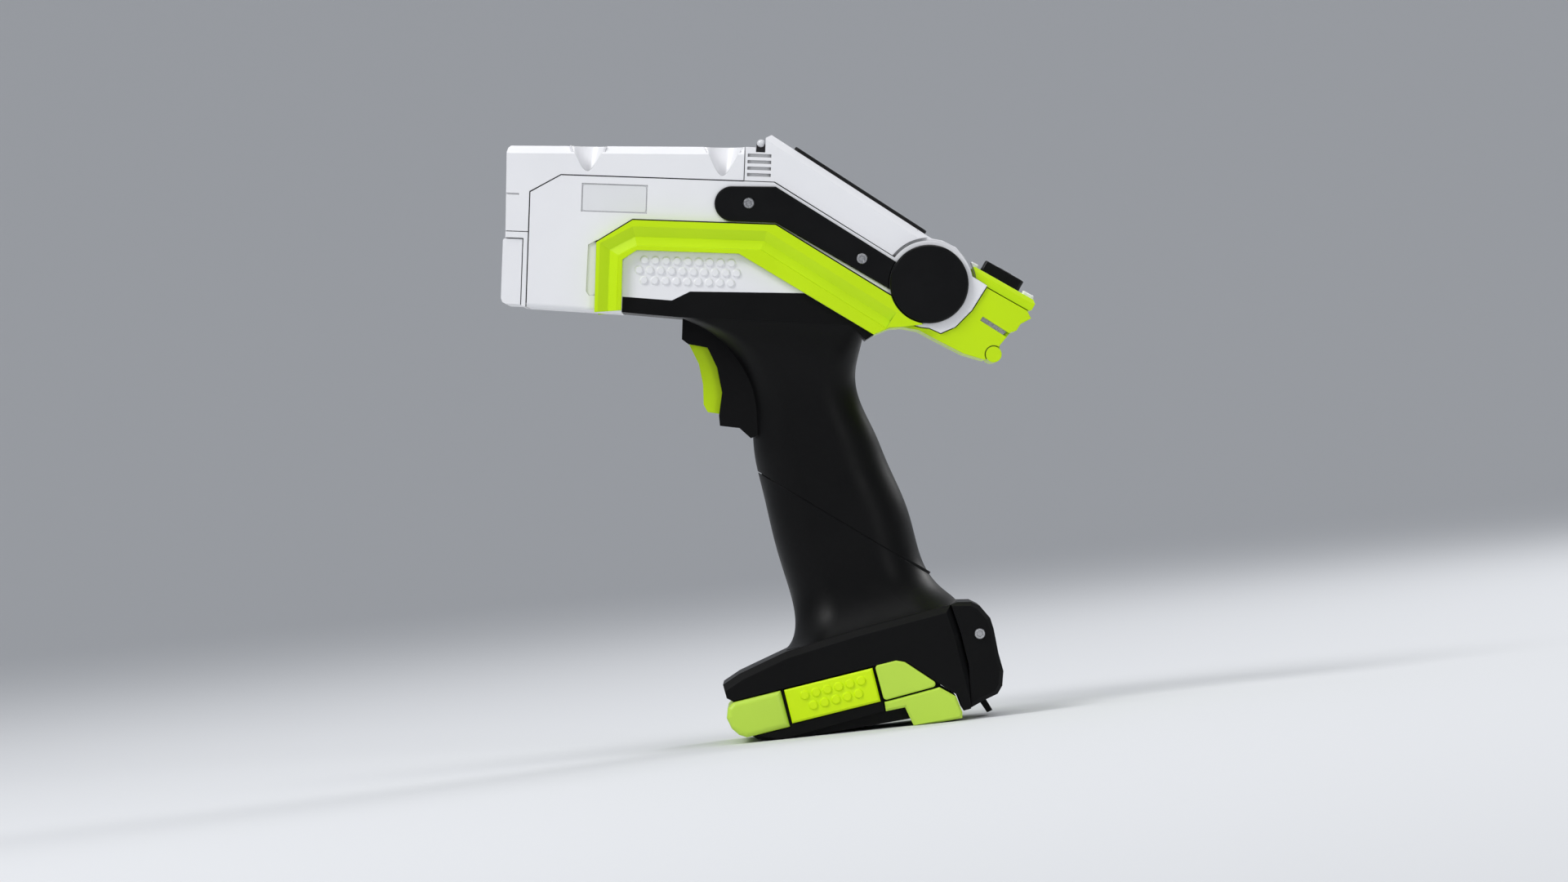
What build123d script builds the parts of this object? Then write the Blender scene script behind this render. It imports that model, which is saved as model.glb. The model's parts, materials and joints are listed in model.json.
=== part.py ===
from build123d import *
import os
from math import atan2, cos, degrees, hypot, radians, sin

# Handheld X-ray fluorescence analyzer, standing on its battery base.  Millimetres.
# Outlines are drawn in two side planes that share the display hinge axis as origin:
#   LEVEL: along the head (u aft, v up); BASE: along the battery base.
# A positive extrusion from either plane goes to the object's left side (-Y).

# ---- driving dimensions -------------------------------------------------------------
stand_tilt = 8.0            # nose-up angle of the head when the analyzer stands
grip_rake = 16.0            # angle between the head and the battery base
hinge_x = 62.44             # display hinge axis from the middle of the footprint
hinge_z = 169.3             # display hinge axis above the table
head_half = 31.0            # half width of the white housings
bumper_half = head_half + 3.2           # half width over the bumpers
wall = 2.2                  # moulded shell thickness
seam = 0.35                 # gap between fixed casings
run = 0.3                   # clearance of moving casings
fit = 0.05                  # radial clearance of pins and shafts
nose_u = -165.5             # front face of the nose
nose_seam_u = -155.5        # joint between the nose and the side housings
cover_rear_u = -73.2        # rear end of the top cover
cover_seam_v = 37.2         # lower edge of the top cover
cover_front_v = 48.0        # top of the cover at the nose
cover_rear_v = 50.6         # top of the cover at the display
bracket_top_v = 12.0        # top of the removable nose bracket
bracket_floor_v = -13.4     # underside of the nose bracket
floor_v = -14.2             # underside of the head at the nose
bracket_proud = 0.9         # step from the nose casing to the bracket's front
window_v = -2.6             # measuring window centre
window_ring_r = 6.5
plunger_v = 7.6
plunger_r = 2.0
plunger_travel = 1.0
cap_r = 15.2                # hinge disc cap
cap_thick = 2.5
axle_r = 3.0
barrel_r = 17.7             # display barrel round the hinge axle
channel_r = 18.35           # channel of the fixed casings round the barrel
panel_slope = 30.9          # slope of the display face
glass_t = 15.4              # display face above the hinge axis
panel_front_s = 72.3        # front end of the display face, along the slope
panel_rear_s = 9.3
barrel_half = head_half - wall - run    # half length of the display barrel
keypad_slope = 27.5
keypad_half = head_half - 2.6
keypad_thick = 4.6
key_travel = 1.0
tail_half = head_half - 1.0
door_half = 19.0
door_pin = (25.9, -26.3)
door_barrel_r = 3.1
trim_thick = 1.3
trigger_half = 6.5
trigger_pin_at = (-85.6, -21.0)
trigger_pin_r = 1.5
base_half = 31.0
base_floor_v = -138.2       # underside of the base housing, in the BASE plane
battery_half = base_half - 4.0
battery_side = base_half + 1.0          # half width over the battery cheeks and buttons
button_travel = 1.4
screw_head_r = 2.25
screw_shank_r = 1.2
screw_head_thick = 1.5

tilt_rad = radians(stand_tilt)
dock_rad = radians(grip_rake - stand_tilt)
hinge = (hinge_x, 0, hinge_z)
LEVEL = Plane(origin=hinge, x_dir=(cos(tilt_rad), 0, -sin(tilt_rad)), z_dir=(0, -1, 0))
BASE = Plane(origin=hinge, x_dir=(cos(dock_rad), 0, sin(dock_rad)), z_dir=(0, -1, 0))
TABLE = Plane.XY

# ---- helpers --------------------------------------------------------------------------


def outline(plane, points):
    """Closed straight-sided face through the points, drawn on the plane."""
    with BuildSketch(plane) as sketch:
        with BuildLine():
            Polyline(*points, close=True)
        make_face()
    return sketch.sketch


def disc(plane, centre, radius):
    """Round face on the plane."""
    with BuildSketch(plane) as sketch:
        with Locations(centre):
            Circle(radius)
    return sketch.sketch


def cross_plane(plane, front, rear):
    """Plane through two points of a side plane, square to that side plane."""
    start = plane.from_local_coords((front[0], front[1], 0))
    end = plane.from_local_coords((rear[0], rear[1], 0))
    along = (end - start).normalized()
    return Plane(origin=(start + end) * 0.5, x_dir=along, z_dir=along.cross(plane.z_dir))


def axis_plane(plane, point, direction_deg):
    """Plane square to a direction in a side plane, its normal along that direction."""
    turn = radians(direction_deg)
    here = plane.from_local_coords((point[0], point[1], 0))
    ahead = plane.from_local_coords((point[0] + cos(turn), point[1] + sin(turn), 0))
    return Plane(origin=here, x_dir=plane.z_dir, z_dir=ahead - here)


def along_slope(slope, s, t):
    """LEVEL point at s forward along a slope through the hinge axis and t above it."""
    turn = radians(slope)
    return (-s * cos(turn) + t * sin(turn), s * sin(turn) + t * cos(turn))


def panel(s, t):
    """LEVEL point of the display: s forward of the axle, t towards the glass."""
    return along_slope(panel_slope, s, t)


def pip_field(plane, rows, pitch, radius):
    """Round grip pips on a plane, in rows of (v, first u, last u)."""
    with BuildSketch(plane) as sketch:
        for v, first_u, last_u in rows:
            steps = round((last_u - first_u) / pitch)
            with Locations(*[(first_u + i * pitch, v) for i in range(steps + 1)]):
                Circle(radius)
    return sketch.sketch


def save(part, label):
    """Name a finished piece and write it."""
    part.label = label
    export_step(part, "parts/" + label + ".step")


os.makedirs("parts", exist_ok=True)

# ---- key points shared by several pieces (LEVEL plane) ------------------------------------
nose_corner = (nose_seam_u, 30.2)
cover_corner = (nose_seam_u + 11.7, cover_seam_v)
deck_front = (-61.4, cover_seam_v)
deck_rear = panel(11.0, 1.45)
panel_floor_left = -118.5
shoulder_front = (panel_floor_left, -9.0)
shoulder_step = (-99.3, -9.8)
shoulder_mid = (-92.4, -6.1)
bumper_toe = (-20.8, -20.3)
bumper_heel = (-48.2, -5.2)
crescent = [(13.6, 7.2), (16.3, 3.7), (22.4, 0.2), (16.8, -9.5), (10.7, -16.1), (5.1, -18.8),
            (-2.0, -15.9)]

# ---- top cover ------------------------------------------------------------------------------
cover_bevel = 3.0
well_low_r = 3.08
well_high_r = 8.32
well_bottom_v = 37.9
well_depth = 14.1
well_lip_r = 7.2
well_lip_rise = 0.7
screw_well_u = (-133.7, -81.4)
well_y = head_half - 3.6
cover_front_u = nose_u + bracket_proud
cover_outline = [
    (cover_front_u, bracket_top_v + 3.0), (cover_front_u - 0.6, cover_front_v - 2.6),
    (cover_front_u - 0.1, cover_front_v - 0.9), (cover_front_u + 0.9, cover_front_v),
    (cover_rear_u, cover_rear_v), (cover_rear_u, cover_seam_v + seam),
    (cover_corner[0], cover_corner[1] + seam), (nose_seam_u - seam, nose_corner[1] + seam),
    (nose_seam_u - seam, bracket_top_v + 3.0),
]
cover_hollow = [
    (cover_front_u + wall, 0), (cover_front_u + wall, cover_front_v - wall),
    (cover_rear_u - wall, cover_rear_v - wall), (cover_rear_u - wall, 0),
]
nose_mark = [(nose_u, 29.0), (nose_u + 5.6, 29.0), (nose_u + 5.6, 29.6), (nose_u, 29.6)]
with BuildPart() as top_cover:
    extrude(outline(LEVEL, cover_outline), amount=head_half, both=True)
    extrude(outline(LEVEL, cover_hollow), amount=head_half - wall, both=True, mode=Mode.SUBTRACT)
    for u in screw_well_u:
        foot = [(u - 3.9, well_bottom_v - 2.5), (u + 3.9, well_bottom_v - 2.5),
                (u + 3.9, cover_front_v), (u - 3.9, cover_front_v)]
        boss = [(u - 7.6, well_bottom_v + 1.0), (u + 7.6, well_bottom_v + 1.0),
                (u + 7.6, cover_front_v), (u - 7.6, cover_front_v)]
        for side in (1, -1):
            extrude(outline(LEVEL.offset(side * (head_half - wall - seam)), foot), amount=-side * 8.0)
            extrude(outline(LEVEL.offset(side * (head_half - 1.0)), boss), amount=-side * 9.0)
    roof_edges = [e for e in top_cover.edges()
                  if abs(abs(e.center().Y) - head_half) < 0.1 and e.length > 60
                  and LEVEL.to_local_coords(e.center()).Y > cover_front_v]
    chamfer(roof_edges, length=cover_bevel)
    for u in screw_well_u:
        roof_v = cover_front_v + (cover_rear_v - cover_front_v) * (u - nose_u) / (cover_rear_u - nose_u)
        well = axis_plane(LEVEL, (u, well_bottom_v), 90)
        for side in (1, -1):
            with BuildSketch(well.offset(roof_v - 5.0 - well_bottom_v)) as lip:
                with Locations((side * well_y, 0)):
                    Circle(well_lip_r)
                Rectangle(2 * head_half - 1.2, 40, mode=Mode.INTERSECT)
            extrude(lip.sketch, amount=5.0 + well_lip_rise)
            with BuildSketch(well) as low:
                with Locations((side * well_y, 0)):
                    Circle(well_low_r)
            with BuildSketch(well.offset(well_depth)) as high:
                with Locations((side * well_y, 0)):
                    Circle(well_high_r)
            loft([low.sketch.face(), high.sketch.face()], mode=Mode.SUBTRACT)
            with BuildSketch(well) as shank:
                with Locations((side * well_y, 0)):
                    Circle(screw_shank_r + fit)
            extrude(shank.sketch, amount=-6, mode=Mode.SUBTRACT)
    for side in (1, -1):
        extrude(outline(LEVEL.offset(side * (head_half - 0.4)), nose_mark), amount=side, mode=Mode.SUBTRACT)
save(top_cover.part, "top_cover")

# ---- screws: one pattern for the cover, the trims and the rear cap -------------------------------


def socket_screw(plane, length):
    """Button screw with a hexagon socket; its head seats on the plane, shank below."""
    with BuildSketch(plane) as head:
        Circle(screw_head_r)
    extrude(head.sketch, amount=screw_head_thick, taper=12)
    with BuildSketch(plane) as shank:
        Circle(screw_shank_r)
    extrude(shank.sketch, amount=-length)
    with BuildSketch(plane.offset(screw_head_thick - 0.9)) as socket:
        RegularPolygon(1.35, 6)
    extrude(socket.sketch, amount=screw_head_thick, mode=Mode.SUBTRACT)


# ---- nose frame, bracket, window -----------------------------------------------------------------
bracket_half = head_half - 0.6
bracket_wall = 1.8
boss_gap = 0.15
bracket_rear_u = nose_seam_u - 2.4
nose_plate = [(bracket_rear_u + seam, floor_v + 0.3), (nose_seam_u - seam, floor_v),
              (nose_seam_u - seam, bracket_top_v + 2.7), (cover_front_u, bracket_top_v + 2.7),
              (cover_front_u, bracket_top_v + seam), (bracket_rear_u + seam, bracket_top_v + seam)]
boss_front_u = nose_u + bracket_wall + boss_gap
nose_boss = [(boss_front_u, bracket_floor_v + bracket_wall + boss_gap),
             (nose_seam_u - seam, bracket_floor_v + bracket_wall + boss_gap),
             (nose_seam_u - seam, bracket_top_v - bracket_wall - boss_gap),
             (boss_front_u, bracket_top_v - bracket_wall - boss_gap)]
beam_plane = axis_plane(LEVEL, (nose_u, window_v), 0)
plunger_plane = axis_plane(LEVEL, (nose_u, plunger_v), 0)
with BuildPart() as nose_frame:
    extrude(outline(LEVEL, nose_plate), amount=head_half, both=True)
    extrude(outline(LEVEL, nose_boss), amount=bracket_half - bracket_wall - boss_gap, both=True)
    with BuildSketch(beam_plane):
        Circle(5.0)
    extrude(amount=20, mode=Mode.SUBTRACT)
    with BuildSketch(plunger_plane):
        Circle(plunger_r + fit)
    extrude(amount=6.6, mode=Mode.SUBTRACT)
save(nose_frame.part, "nose_frame")

bracket_outline = [(nose_u, bracket_floor_v + 2.2), (nose_u + 0.6, bracket_floor_v + 0.7),
                   (nose_u + 2.0, bracket_floor_v),
                   (bracket_rear_u, bracket_floor_v), (bracket_rear_u, bracket_top_v),
                   (nose_u + 0.6, bracket_top_v), (nose_u, bracket_top_v - 0.6)]
bracket_hollow = [(nose_u + bracket_wall, bracket_floor_v + bracket_wall),
                  (bracket_rear_u + 1, bracket_floor_v + bracket_wall),
                  (bracket_rear_u + 1, bracket_top_v - bracket_wall),
                  (nose_u + bracket_wall, bracket_top_v - bracket_wall)]
ring_seat = 0.8
with BuildPart() as nose_bracket:
    extrude(outline(LEVEL, bracket_outline), amount=bracket_half, both=True)
    extrude(outline(LEVEL, bracket_hollow), amount=bracket_half - bracket_wall, both=True,
            mode=Mode.SUBTRACT)
    with BuildSketch(beam_plane):
        Circle(window_ring_r + 0.05)
    extrude(amount=ring_seat, mode=Mode.SUBTRACT)
    with BuildSketch(beam_plane):
        Circle(4.5)
    extrude(amount=bracket_wall + 1, mode=Mode.SUBTRACT)
    with BuildSketch(plunger_plane):
        Circle(plunger_r + fit)
    extrude(amount=bracket_wall + 1, mode=Mode.SUBTRACT)
save(nose_bracket.part, "nose_bracket")

ring_proud = 1.0
with BuildPart() as window_ring:
    with BuildSketch(beam_plane.offset(ring_seat)):
        Circle(window_ring_r)
        Circle(3.4, mode=Mode.SUBTRACT)
    extrude(amount=-ring_seat)
    with BuildSketch(beam_plane):
        Circle(3.9)
        Circle(3.4, mode=Mode.SUBTRACT)
    extrude(amount=-ring_proud)
save(window_ring.part, "window_ring")

with BuildPart() as window_film:
    with BuildSketch(beam_plane.offset(ring_seat)):
        Circle(3.4)
    extrude(amount=-0.2)
save(window_film.part, "window_film")

with BuildPart() as proximity_plunger:
    with BuildSketch(plunger_plane.offset(5.4)):
        Circle(plunger_r)
    extrude(amount=-(5.4 + plunger_travel))
    fillet(proximity_plunger.faces().sort_by(Axis.X)[0].edges(), 0.5)
save(proximity_plunger.part, "proximity_plunger")

# ---- side housings --------------------------------------------------------------------------------
floor_rear = (panel_floor_left, floor_v - 1.1)
housing_outline = [
    (nose_seam_u, floor_v), nose_corner, cover_corner, deck_front, deck_rear, (0, 0),
    (-9.0, -14.0), bumper_toe, bumper_heel, shoulder_mid, shoulder_step, shoulder_front, floor_rear,
]
floor_flange = [(nose_seam_u, floor_v), floor_rear,
                (floor_rear[0], floor_rear[1] + wall), (nose_seam_u, floor_v + wall)]
deck_flange = [(cover_rear_u - 3.5, cover_seam_v), deck_front, panel(19.5, 1.45),
               panel(19.5, 1.45 - wall), (deck_front[0] - 0.6, cover_seam_v - wall),
               (cover_rear_u - 3.5, cover_seam_v - wall)]
label_recess = [(-135.6, 34.4), (-110.2, 34.4), (-110.2, 23.4), (-135.6, 23.4)]
contour_slot = [(-129.0, -9.0), (-131.4, -9.0), (-132.6, -7.4), (-132.4, 10.6), (-129.0, 12.6)]
ear_r = 16.9
pip_rows = ((5.4, -110.4, -76.8), (1.5, -112.4, -74.6), (-2.4, -110.4, -76.8))
pip_pitch = 4.2
pip_r = 1.75
pip_rise = 0.7
axle_bush_r = 5.0
trim_screws = ((-70.9, 28.8), (-26.4, 8.9))
with BuildPart() as left_housing:
    with BuildSketch(LEVEL.offset(head_half - wall)):
        with BuildLine():
            Polyline(*housing_outline, close=True)
        make_face()
        Circle(ear_r)
        with BuildLine():
            Polyline((0, 0), *crescent, close=True)
        make_face()
    extrude(amount=wall)
    extrude(outline(LEVEL, floor_flange), amount=head_half - wall)
    extrude(outline(LEVEL, deck_flange), amount=head_half - wall)
    low_edges = [e for e in left_housing.edges()
                 if abs(abs(e.center().Y) - head_half) < 0.01 and 34 < e.length < 40
                 and LEVEL.to_local_coords(e.center()).Y < floor_v + 1]
    fillet(low_edges, radius=1.8)
    extrude(outline(LEVEL.offset(head_half - 0.5), label_recess), amount=1, mode=Mode.SUBTRACT)
    extrude(outline(LEVEL.offset(head_half - 0.7), contour_slot), amount=1, mode=Mode.SUBTRACT)
    extrude(disc(LEVEL.offset(head_half - wall - 1), (0, 0), axle_bush_r), amount=wall + 2,
            mode=Mode.SUBTRACT)
    for point in trim_screws:
        extrude(disc(LEVEL.offset(head_half - wall - 1), point, screw_shank_r + fit),
                amount=wall + 2, mode=Mode.SUBTRACT)
    extrude(pip_field(LEVEL.offset(head_half), pip_rows, pip_pitch, pip_r), amount=pip_rise, taper=35)
save(left_housing.part, "left_housing")

with BuildPart() as right_housing:
    mirror(left_housing.part, about=Plane.XZ)
save(right_housing.part, "right_housing")

# ---- seal that shows as the dark line between the nose, the cover and the side housings --------------
seal_low_v = floor_v + wall + 0.2
seal_path = [
    (nose_seam_u - seam, seal_low_v), (nose_seam_u - seam, nose_corner[1] + seam),
    (cover_corner[0], cover_corner[1] + seam), (cover_rear_u, cover_seam_v + seam),
    (cover_rear_u, cover_seam_v), cover_corner, nose_corner, (nose_seam_u, seal_low_v),
]
with BuildPart() as case_seal:
    extrude(outline(LEVEL.offset(head_half - wall), seal_path), amount=wall - 0.6)
    mirror(about=Plane.XZ)
save(case_seal.part, "case_seal")

# ---- bumpers, with the mitred V-groove --------------------------------------------------------------
bumper_front_out = -129.3
bumper_front_in = -118.9
bumper_top_out = 20.7
bumper_top_in = 9.1
bumper_outline = [
    (bumper_front_out + 0.2, floor_v - 1.2), (bumper_front_out, 11.6), (-115.5, bumper_top_out),
    (-60.2, bumper_top_out), (-8.0, -8.9), (-2.0, -15.7), (-9.2, -16.9), (-14.8, -17.4),
    bumper_toe, (-74.0, bumper_top_in),
    (-113.5, bumper_top_in), (bumper_front_in, 5.3), (bumper_front_in + 0.2, floor_v - 0.1),
]
groove_path = [(-124.6, floor_v - 4), (-124.6, 9.4), (-114.6, 15.0), (-64.4, 15.0), (-14.0, -14.2)]
with BuildPart() as left_bumper:
    extrude(outline(LEVEL.offset(head_half), bumper_outline), amount=bumper_half - head_half)
    extrude(disc(LEVEL.offset(head_half), (0, 0), cap_r + run), amount=10, mode=Mode.SUBTRACT)
    with BuildLine(LEVEL.offset(bumper_half)) as groove_line:
        Polyline(*groove_path)
    start_plane = Plane(origin=groove_line.line @ 0, x_dir=LEVEL.x_dir, z_dir=groove_line.line % 0)
    with BuildSketch(start_plane):
        with BuildLine():
            Polyline((-3.6, -0.4), (-3.2, 0), (0.6, 2.0), (4.0, 0.5), (4.4, -0.6), close=True)
        make_face()
    sweep(path=groove_line.line, transition=Transition.RIGHT, mode=Mode.SUBTRACT)
save(left_bumper.part, "left_bumper")

with BuildPart() as right_bumper:
    mirror(left_bumper.part, about=Plane.XZ)
save(right_bumper.part, "right_bumper")

# ---- gloss trim strips -----------------------------------------------------------------------------
trim_nose = (-77.3, 28.4)
trim_nose_r = 6.8
trim_outline = [(-77.3, 35.2), (-60.7, 35.6), (-6.0, 4.0), (-6.0, -7.5), (-60.2, 21.6), (-77.3, 21.6)]
with BuildPart() as left_trim:
    with BuildSketch(LEVEL.offset(head_half)):
        with BuildLine():
            Polyline(*trim_outline, close=True)
        make_face()
        with Locations(trim_nose):
            Circle(trim_nose_r)
        Circle(cap_r + run, mode=Mode.SUBTRACT)
        with Locations(*trim_screws):
            Circle(screw_shank_r + fit, mode=Mode.SUBTRACT)
    extrude(amount=trim_thick)
    chamfer(left_trim.faces().sort_by(Axis.Y)[0].outer_wire().edges(), 0.35)
save(left_trim.part, "left_trim")

with BuildPart() as right_trim:
    mirror(left_trim.part, about=Plane.XZ)
save(right_trim.part, "right_trim")

# ---- hinge axle, bushes and caps -----------------------------------------------------------------------
with BuildPart() as hinge_bushes:
    with BuildSketch(LEVEL.offset(head_half - wall)):
        Circle(axle_bush_r)
        Circle(axle_r + fit, mode=Mode.SUBTRACT)
    extrude(amount=wall)
    mirror(about=Plane.XZ)
save(hinge_bushes.part, "hinge_bushes")

with BuildPart() as hinge_axle:
    extrude(disc(LEVEL, (0, 0), axle_r), amount=head_half, both=True)
save(hinge_axle.part, "hinge_axle")

with BuildPart() as left_hinge_cap:
    extrude(disc(LEVEL.offset(head_half), (0, 0), cap_r), amount=cap_thick)
    chamfer(left_hinge_cap.faces().sort_by(Axis.Y)[0].edges(), 0.5)
save(left_hinge_cap.part, "left_hinge_cap")

with BuildPart() as right_hinge_cap:
    mirror(left_hinge_cap.part, about=Plane.XZ)
save(right_hinge_cap.part, "right_hinge_cap")

# ---- tilting display ---------------------------------------------------------------------------------
frame_half = head_half - run
display_base_v = cover_seam_v + run
display_front_u = cover_rear_u + run
glass_line_front = panel(panel_front_s + 10.3, glass_t)
frame_outline = [
    (display_front_u, display_base_v), (display_front_u, cover_rear_v), (-68.8, cover_rear_v),
    (-68.8, 48.7), (-65.2, 48.7), (-65.2, 54.4), glass_line_front,
    panel(panel_rear_s, glass_t), panel(panel_rear_s, 1.45 + run),
    (deck_front[0] + 0.3, display_base_v),
]
barrel_bore_r = 9.0
DISPLAY = Plane(origin=hinge,
                x_dir=LEVEL.from_local_coords((*panel(1, 0), 0)) - Vector(*hinge),
                z_dir=LEVEL.from_local_coords((*panel(0, 1), 0)) - Vector(*hinge))
glass_half = frame_half - 3.3
glass_front_s = 71.6
glass_rear_s = 12.6
glass_thick = 1.5
glass_proud = 0.8
rim_bevel = 2.8
gasket_margin = 1.0
module_thick = 4.0
back_t = 2.0


def panel_rect(t, front_s, rear_s, half):
    """Rectangle parallel to the display face at height t."""
    with BuildSketch(DISPLAY.offset(t)) as sketch:
        with Locations(((front_s + rear_s) / 2, 0)):
            RectangleRounded(front_s - rear_s, 2 * half, 1.5)
    return sketch.sketch


pocket_front_s = glass_front_s - 2.5
pocket_rear_s = 19.0
with BuildPart() as display_frame:
    extrude(outline(LEVEL, frame_outline), amount=frame_half, both=True)
    rim_edges = [e for e in display_frame.edges()
                 if abs(abs(e.center().Y) - frame_half) < 0.01
                 and DISPLAY.to_local_coords(e.center()).Z > glass_t - 0.1]
    chamfer(rim_edges, length=rim_bevel)
    with BuildSketch(LEVEL):
        with BuildLine():
            Polyline((0, 0), panel(panel_rear_s + 6, glass_t), panel(panel_rear_s, glass_t),
                     (0.5, barrel_r), (4.5, 17.1), (9.9, 14.6), (13.6, 10.6), close=True)
        make_face()
    extrude(amount=barrel_half, both=True)
    extrude(disc(LEVEL, (0, 0), barrel_bore_r), amount=barrel_half, both=True)
    extrude(disc(LEVEL, (0, 0), axle_r + fit), amount=head_half, both=True, mode=Mode.SUBTRACT)
    for side in (1, -1):
        extrude(disc(LEVEL.offset(side * barrel_half), (0, 0), barrel_r + run), amount=side * 5,
                mode=Mode.SUBTRACT)
    extrude(panel_rect(glass_t + 1, glass_front_s, glass_rear_s, glass_half),
            amount=-(glass_thick + gasket_margin + 1), mode=Mode.SUBTRACT)
    extrude(panel_rect(glass_t, pocket_front_s, pocket_rear_s, glass_half - 2.4),
            amount=-(glass_t + 2), mode=Mode.SUBTRACT)
    for i in range(4):
        rib_v = display_base_v + 1.8 + i * 2.5
        rib = [(-71.9, rib_v), (-62.8, rib_v), (-62.8, rib_v + 1.2), (-71.9, rib_v + 1.2)]
        for side in (1, -1):
            extrude(outline(LEVEL.offset(side * (frame_half - 1.0)), rib), amount=side * 2,
                    mode=Mode.SUBTRACT)
save(display_frame.part, "display_frame")

with BuildPart() as display_gasket:
    extrude(panel_rect(glass_t - glass_thick - gasket_margin, glass_front_s - fit, glass_rear_s + fit,
                       glass_half - fit), amount=gasket_margin)
    extrude(panel_rect(glass_t - glass_thick - gasket_margin, glass_front_s - 4, glass_rear_s + 4,
                       glass_half - 4), amount=gasket_margin, mode=Mode.SUBTRACT)
save(display_gasket.part, "display_gasket")

with BuildPart() as display_glass:
    extrude(panel_rect(glass_t - glass_thick, glass_front_s - fit, glass_rear_s + fit,
                       glass_half - fit), amount=glass_thick + glass_proud)
    chamfer(display_glass.faces().sort_by(Axis(hinge, DISPLAY.z_dir))[-1].edges(), 0.4)
save(display_glass.part, "display_glass")

module_top_t = glass_t - glass_thick
with BuildPart() as display_module:
    extrude(panel_rect(module_top_t, pocket_front_s - 2.0, pocket_rear_s + 2.0, glass_half - 4.4),
            amount=-module_thick)
save(display_module.part, "display_module")

with BuildPart() as display_back:
    extrude(panel_rect(back_t, pocket_front_s - fit, pocket_rear_s + fit, glass_half - 2.4 - fit),
            amount=module_top_t - module_thick - back_t)
    extrude(panel_rect(back_t + wall, pocket_front_s - wall, pocket_rear_s + wall, glass_half - 2.4 - wall),
            amount=20, mode=Mode.SUBTRACT)
save(display_back.part, "display_back")

with BuildPart() as light_bar:
    lens = [(-68.7, 48.8), (-65.3, 48.8), (-65.3, 52.2), (-66.4, 53.0), (-68.7, 52.0)]
    extrude(outline(LEVEL, lens), amount=24, both=True)
save(light_bar.part, "light_bar")

# ---- tail housing, keypad, connectors, door -----------------------------------------------------------
keypad_mid = (28.2, 1.87)
keypad_front_s = -15.2
turn = radians(keypad_slope)
key_side = Vector(*LEVEL.from_local_coords((cos(turn), -sin(turn), 0))) - Vector(*hinge)
key_up = Vector(*LEVEL.from_local_coords((sin(turn), cos(turn), 0))) - Vector(*hinge)
KEYPAD = Plane(origin=LEVEL.from_local_coords((*keypad_mid, 0)), x_dir=key_side, z_dir=key_up)


def pad_point(s, t):
    """LEVEL point of the keypad: s aft of its middle, t above its face."""
    return (keypad_mid[0] + s * cos(turn) + t * sin(turn), keypad_mid[1] - s * sin(turn) + t * cos(turn))


slab_outline = [pad_point(keypad_front_s + 0.6, -2.4), pad_point(keypad_front_s + 1.8, -0.7),
                pad_point(keypad_front_s + 3.4, 0), pad_point(14.0, 0), pad_point(15.4, -1.2),
                pad_point(15.4, -keypad_thick + 0.8), pad_point(14.4, -keypad_thick),
                pad_point(keypad_front_s + 1.4, -keypad_thick)]
under_slab = -keypad_thick - seam
tail_outline = [
    pad_point(-9.4, under_slab), pad_point(13.9, under_slab), (39.9, -11.9), (35.9, -14.2),
    (34.4, -16.8), (32.2, -17.5), (28.0, -22.9), (25.9, -26.3), (22.6, -28.6), (14.2, -26.4),
    (4.6, -21.9), (-3.5, -17.9), (-9.8, -17.0), (-14.6, -17.5), (-20.6, -20.2), (-20.6, -17.4),
    (-14.0, -15.4), (-9.0, -14.8), (-2.2, -15.9 - seam), (5.0, -19.0), (10.9, -16.3), (17.0, -9.6),
]
tail_hollow = [
    pad_point(-7.4, under_slab + 1), pad_point(11.9, under_slab + 1), (36.9, -11.4), (33.0, -14.6),
    (26.6, -21.6), (22.0, -25.2), (14.8, -24.0), (5.2, -19.4), (-3.3, -15.6), (-9.6, -14.8), (0, 0),
    (12, 0),
]
slot_ends = [(20.7, -12.6), (31.3, -18.8)]
slot_half = 0.9
lug_half = door_half + 3.0
bay_rear = [(27.8, -7.5), (19.2, -16.5)]
door_outer = [(38.8, -12.6), (35.9, -14.2), (34.4, -16.8), (32.2, -17.5), (28.4, -22.4)]
door_inner = [(x - 1.5, v + 1.5) for x, v in reversed(door_outer)]
door_opening = [(40.5, -12.4), (36.9, -10.2), (25.4, -21.9), (24.0, -25.0), (30.0, -27.0)]


def slot_outline(grow):
    """Slanted slot of the tail side, grown by a margin."""
    (u0, v0), (u1, v1) = slot_ends
    length = hypot(u1 - u0, v1 - v0)
    du, dv = (u1 - u0) / length, (v1 - v0) / length
    w = slot_half + grow
    return [(u0 - du * grow - dv * w, v0 - dv * grow + du * w),
            (u1 + du * grow - dv * w, v1 + dv * grow + du * w),
            (u1 + du * grow + dv * w, v1 + dv * grow - du * w),
            (u0 - du * grow + dv * w, v0 - dv * grow - du * w)]


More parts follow.
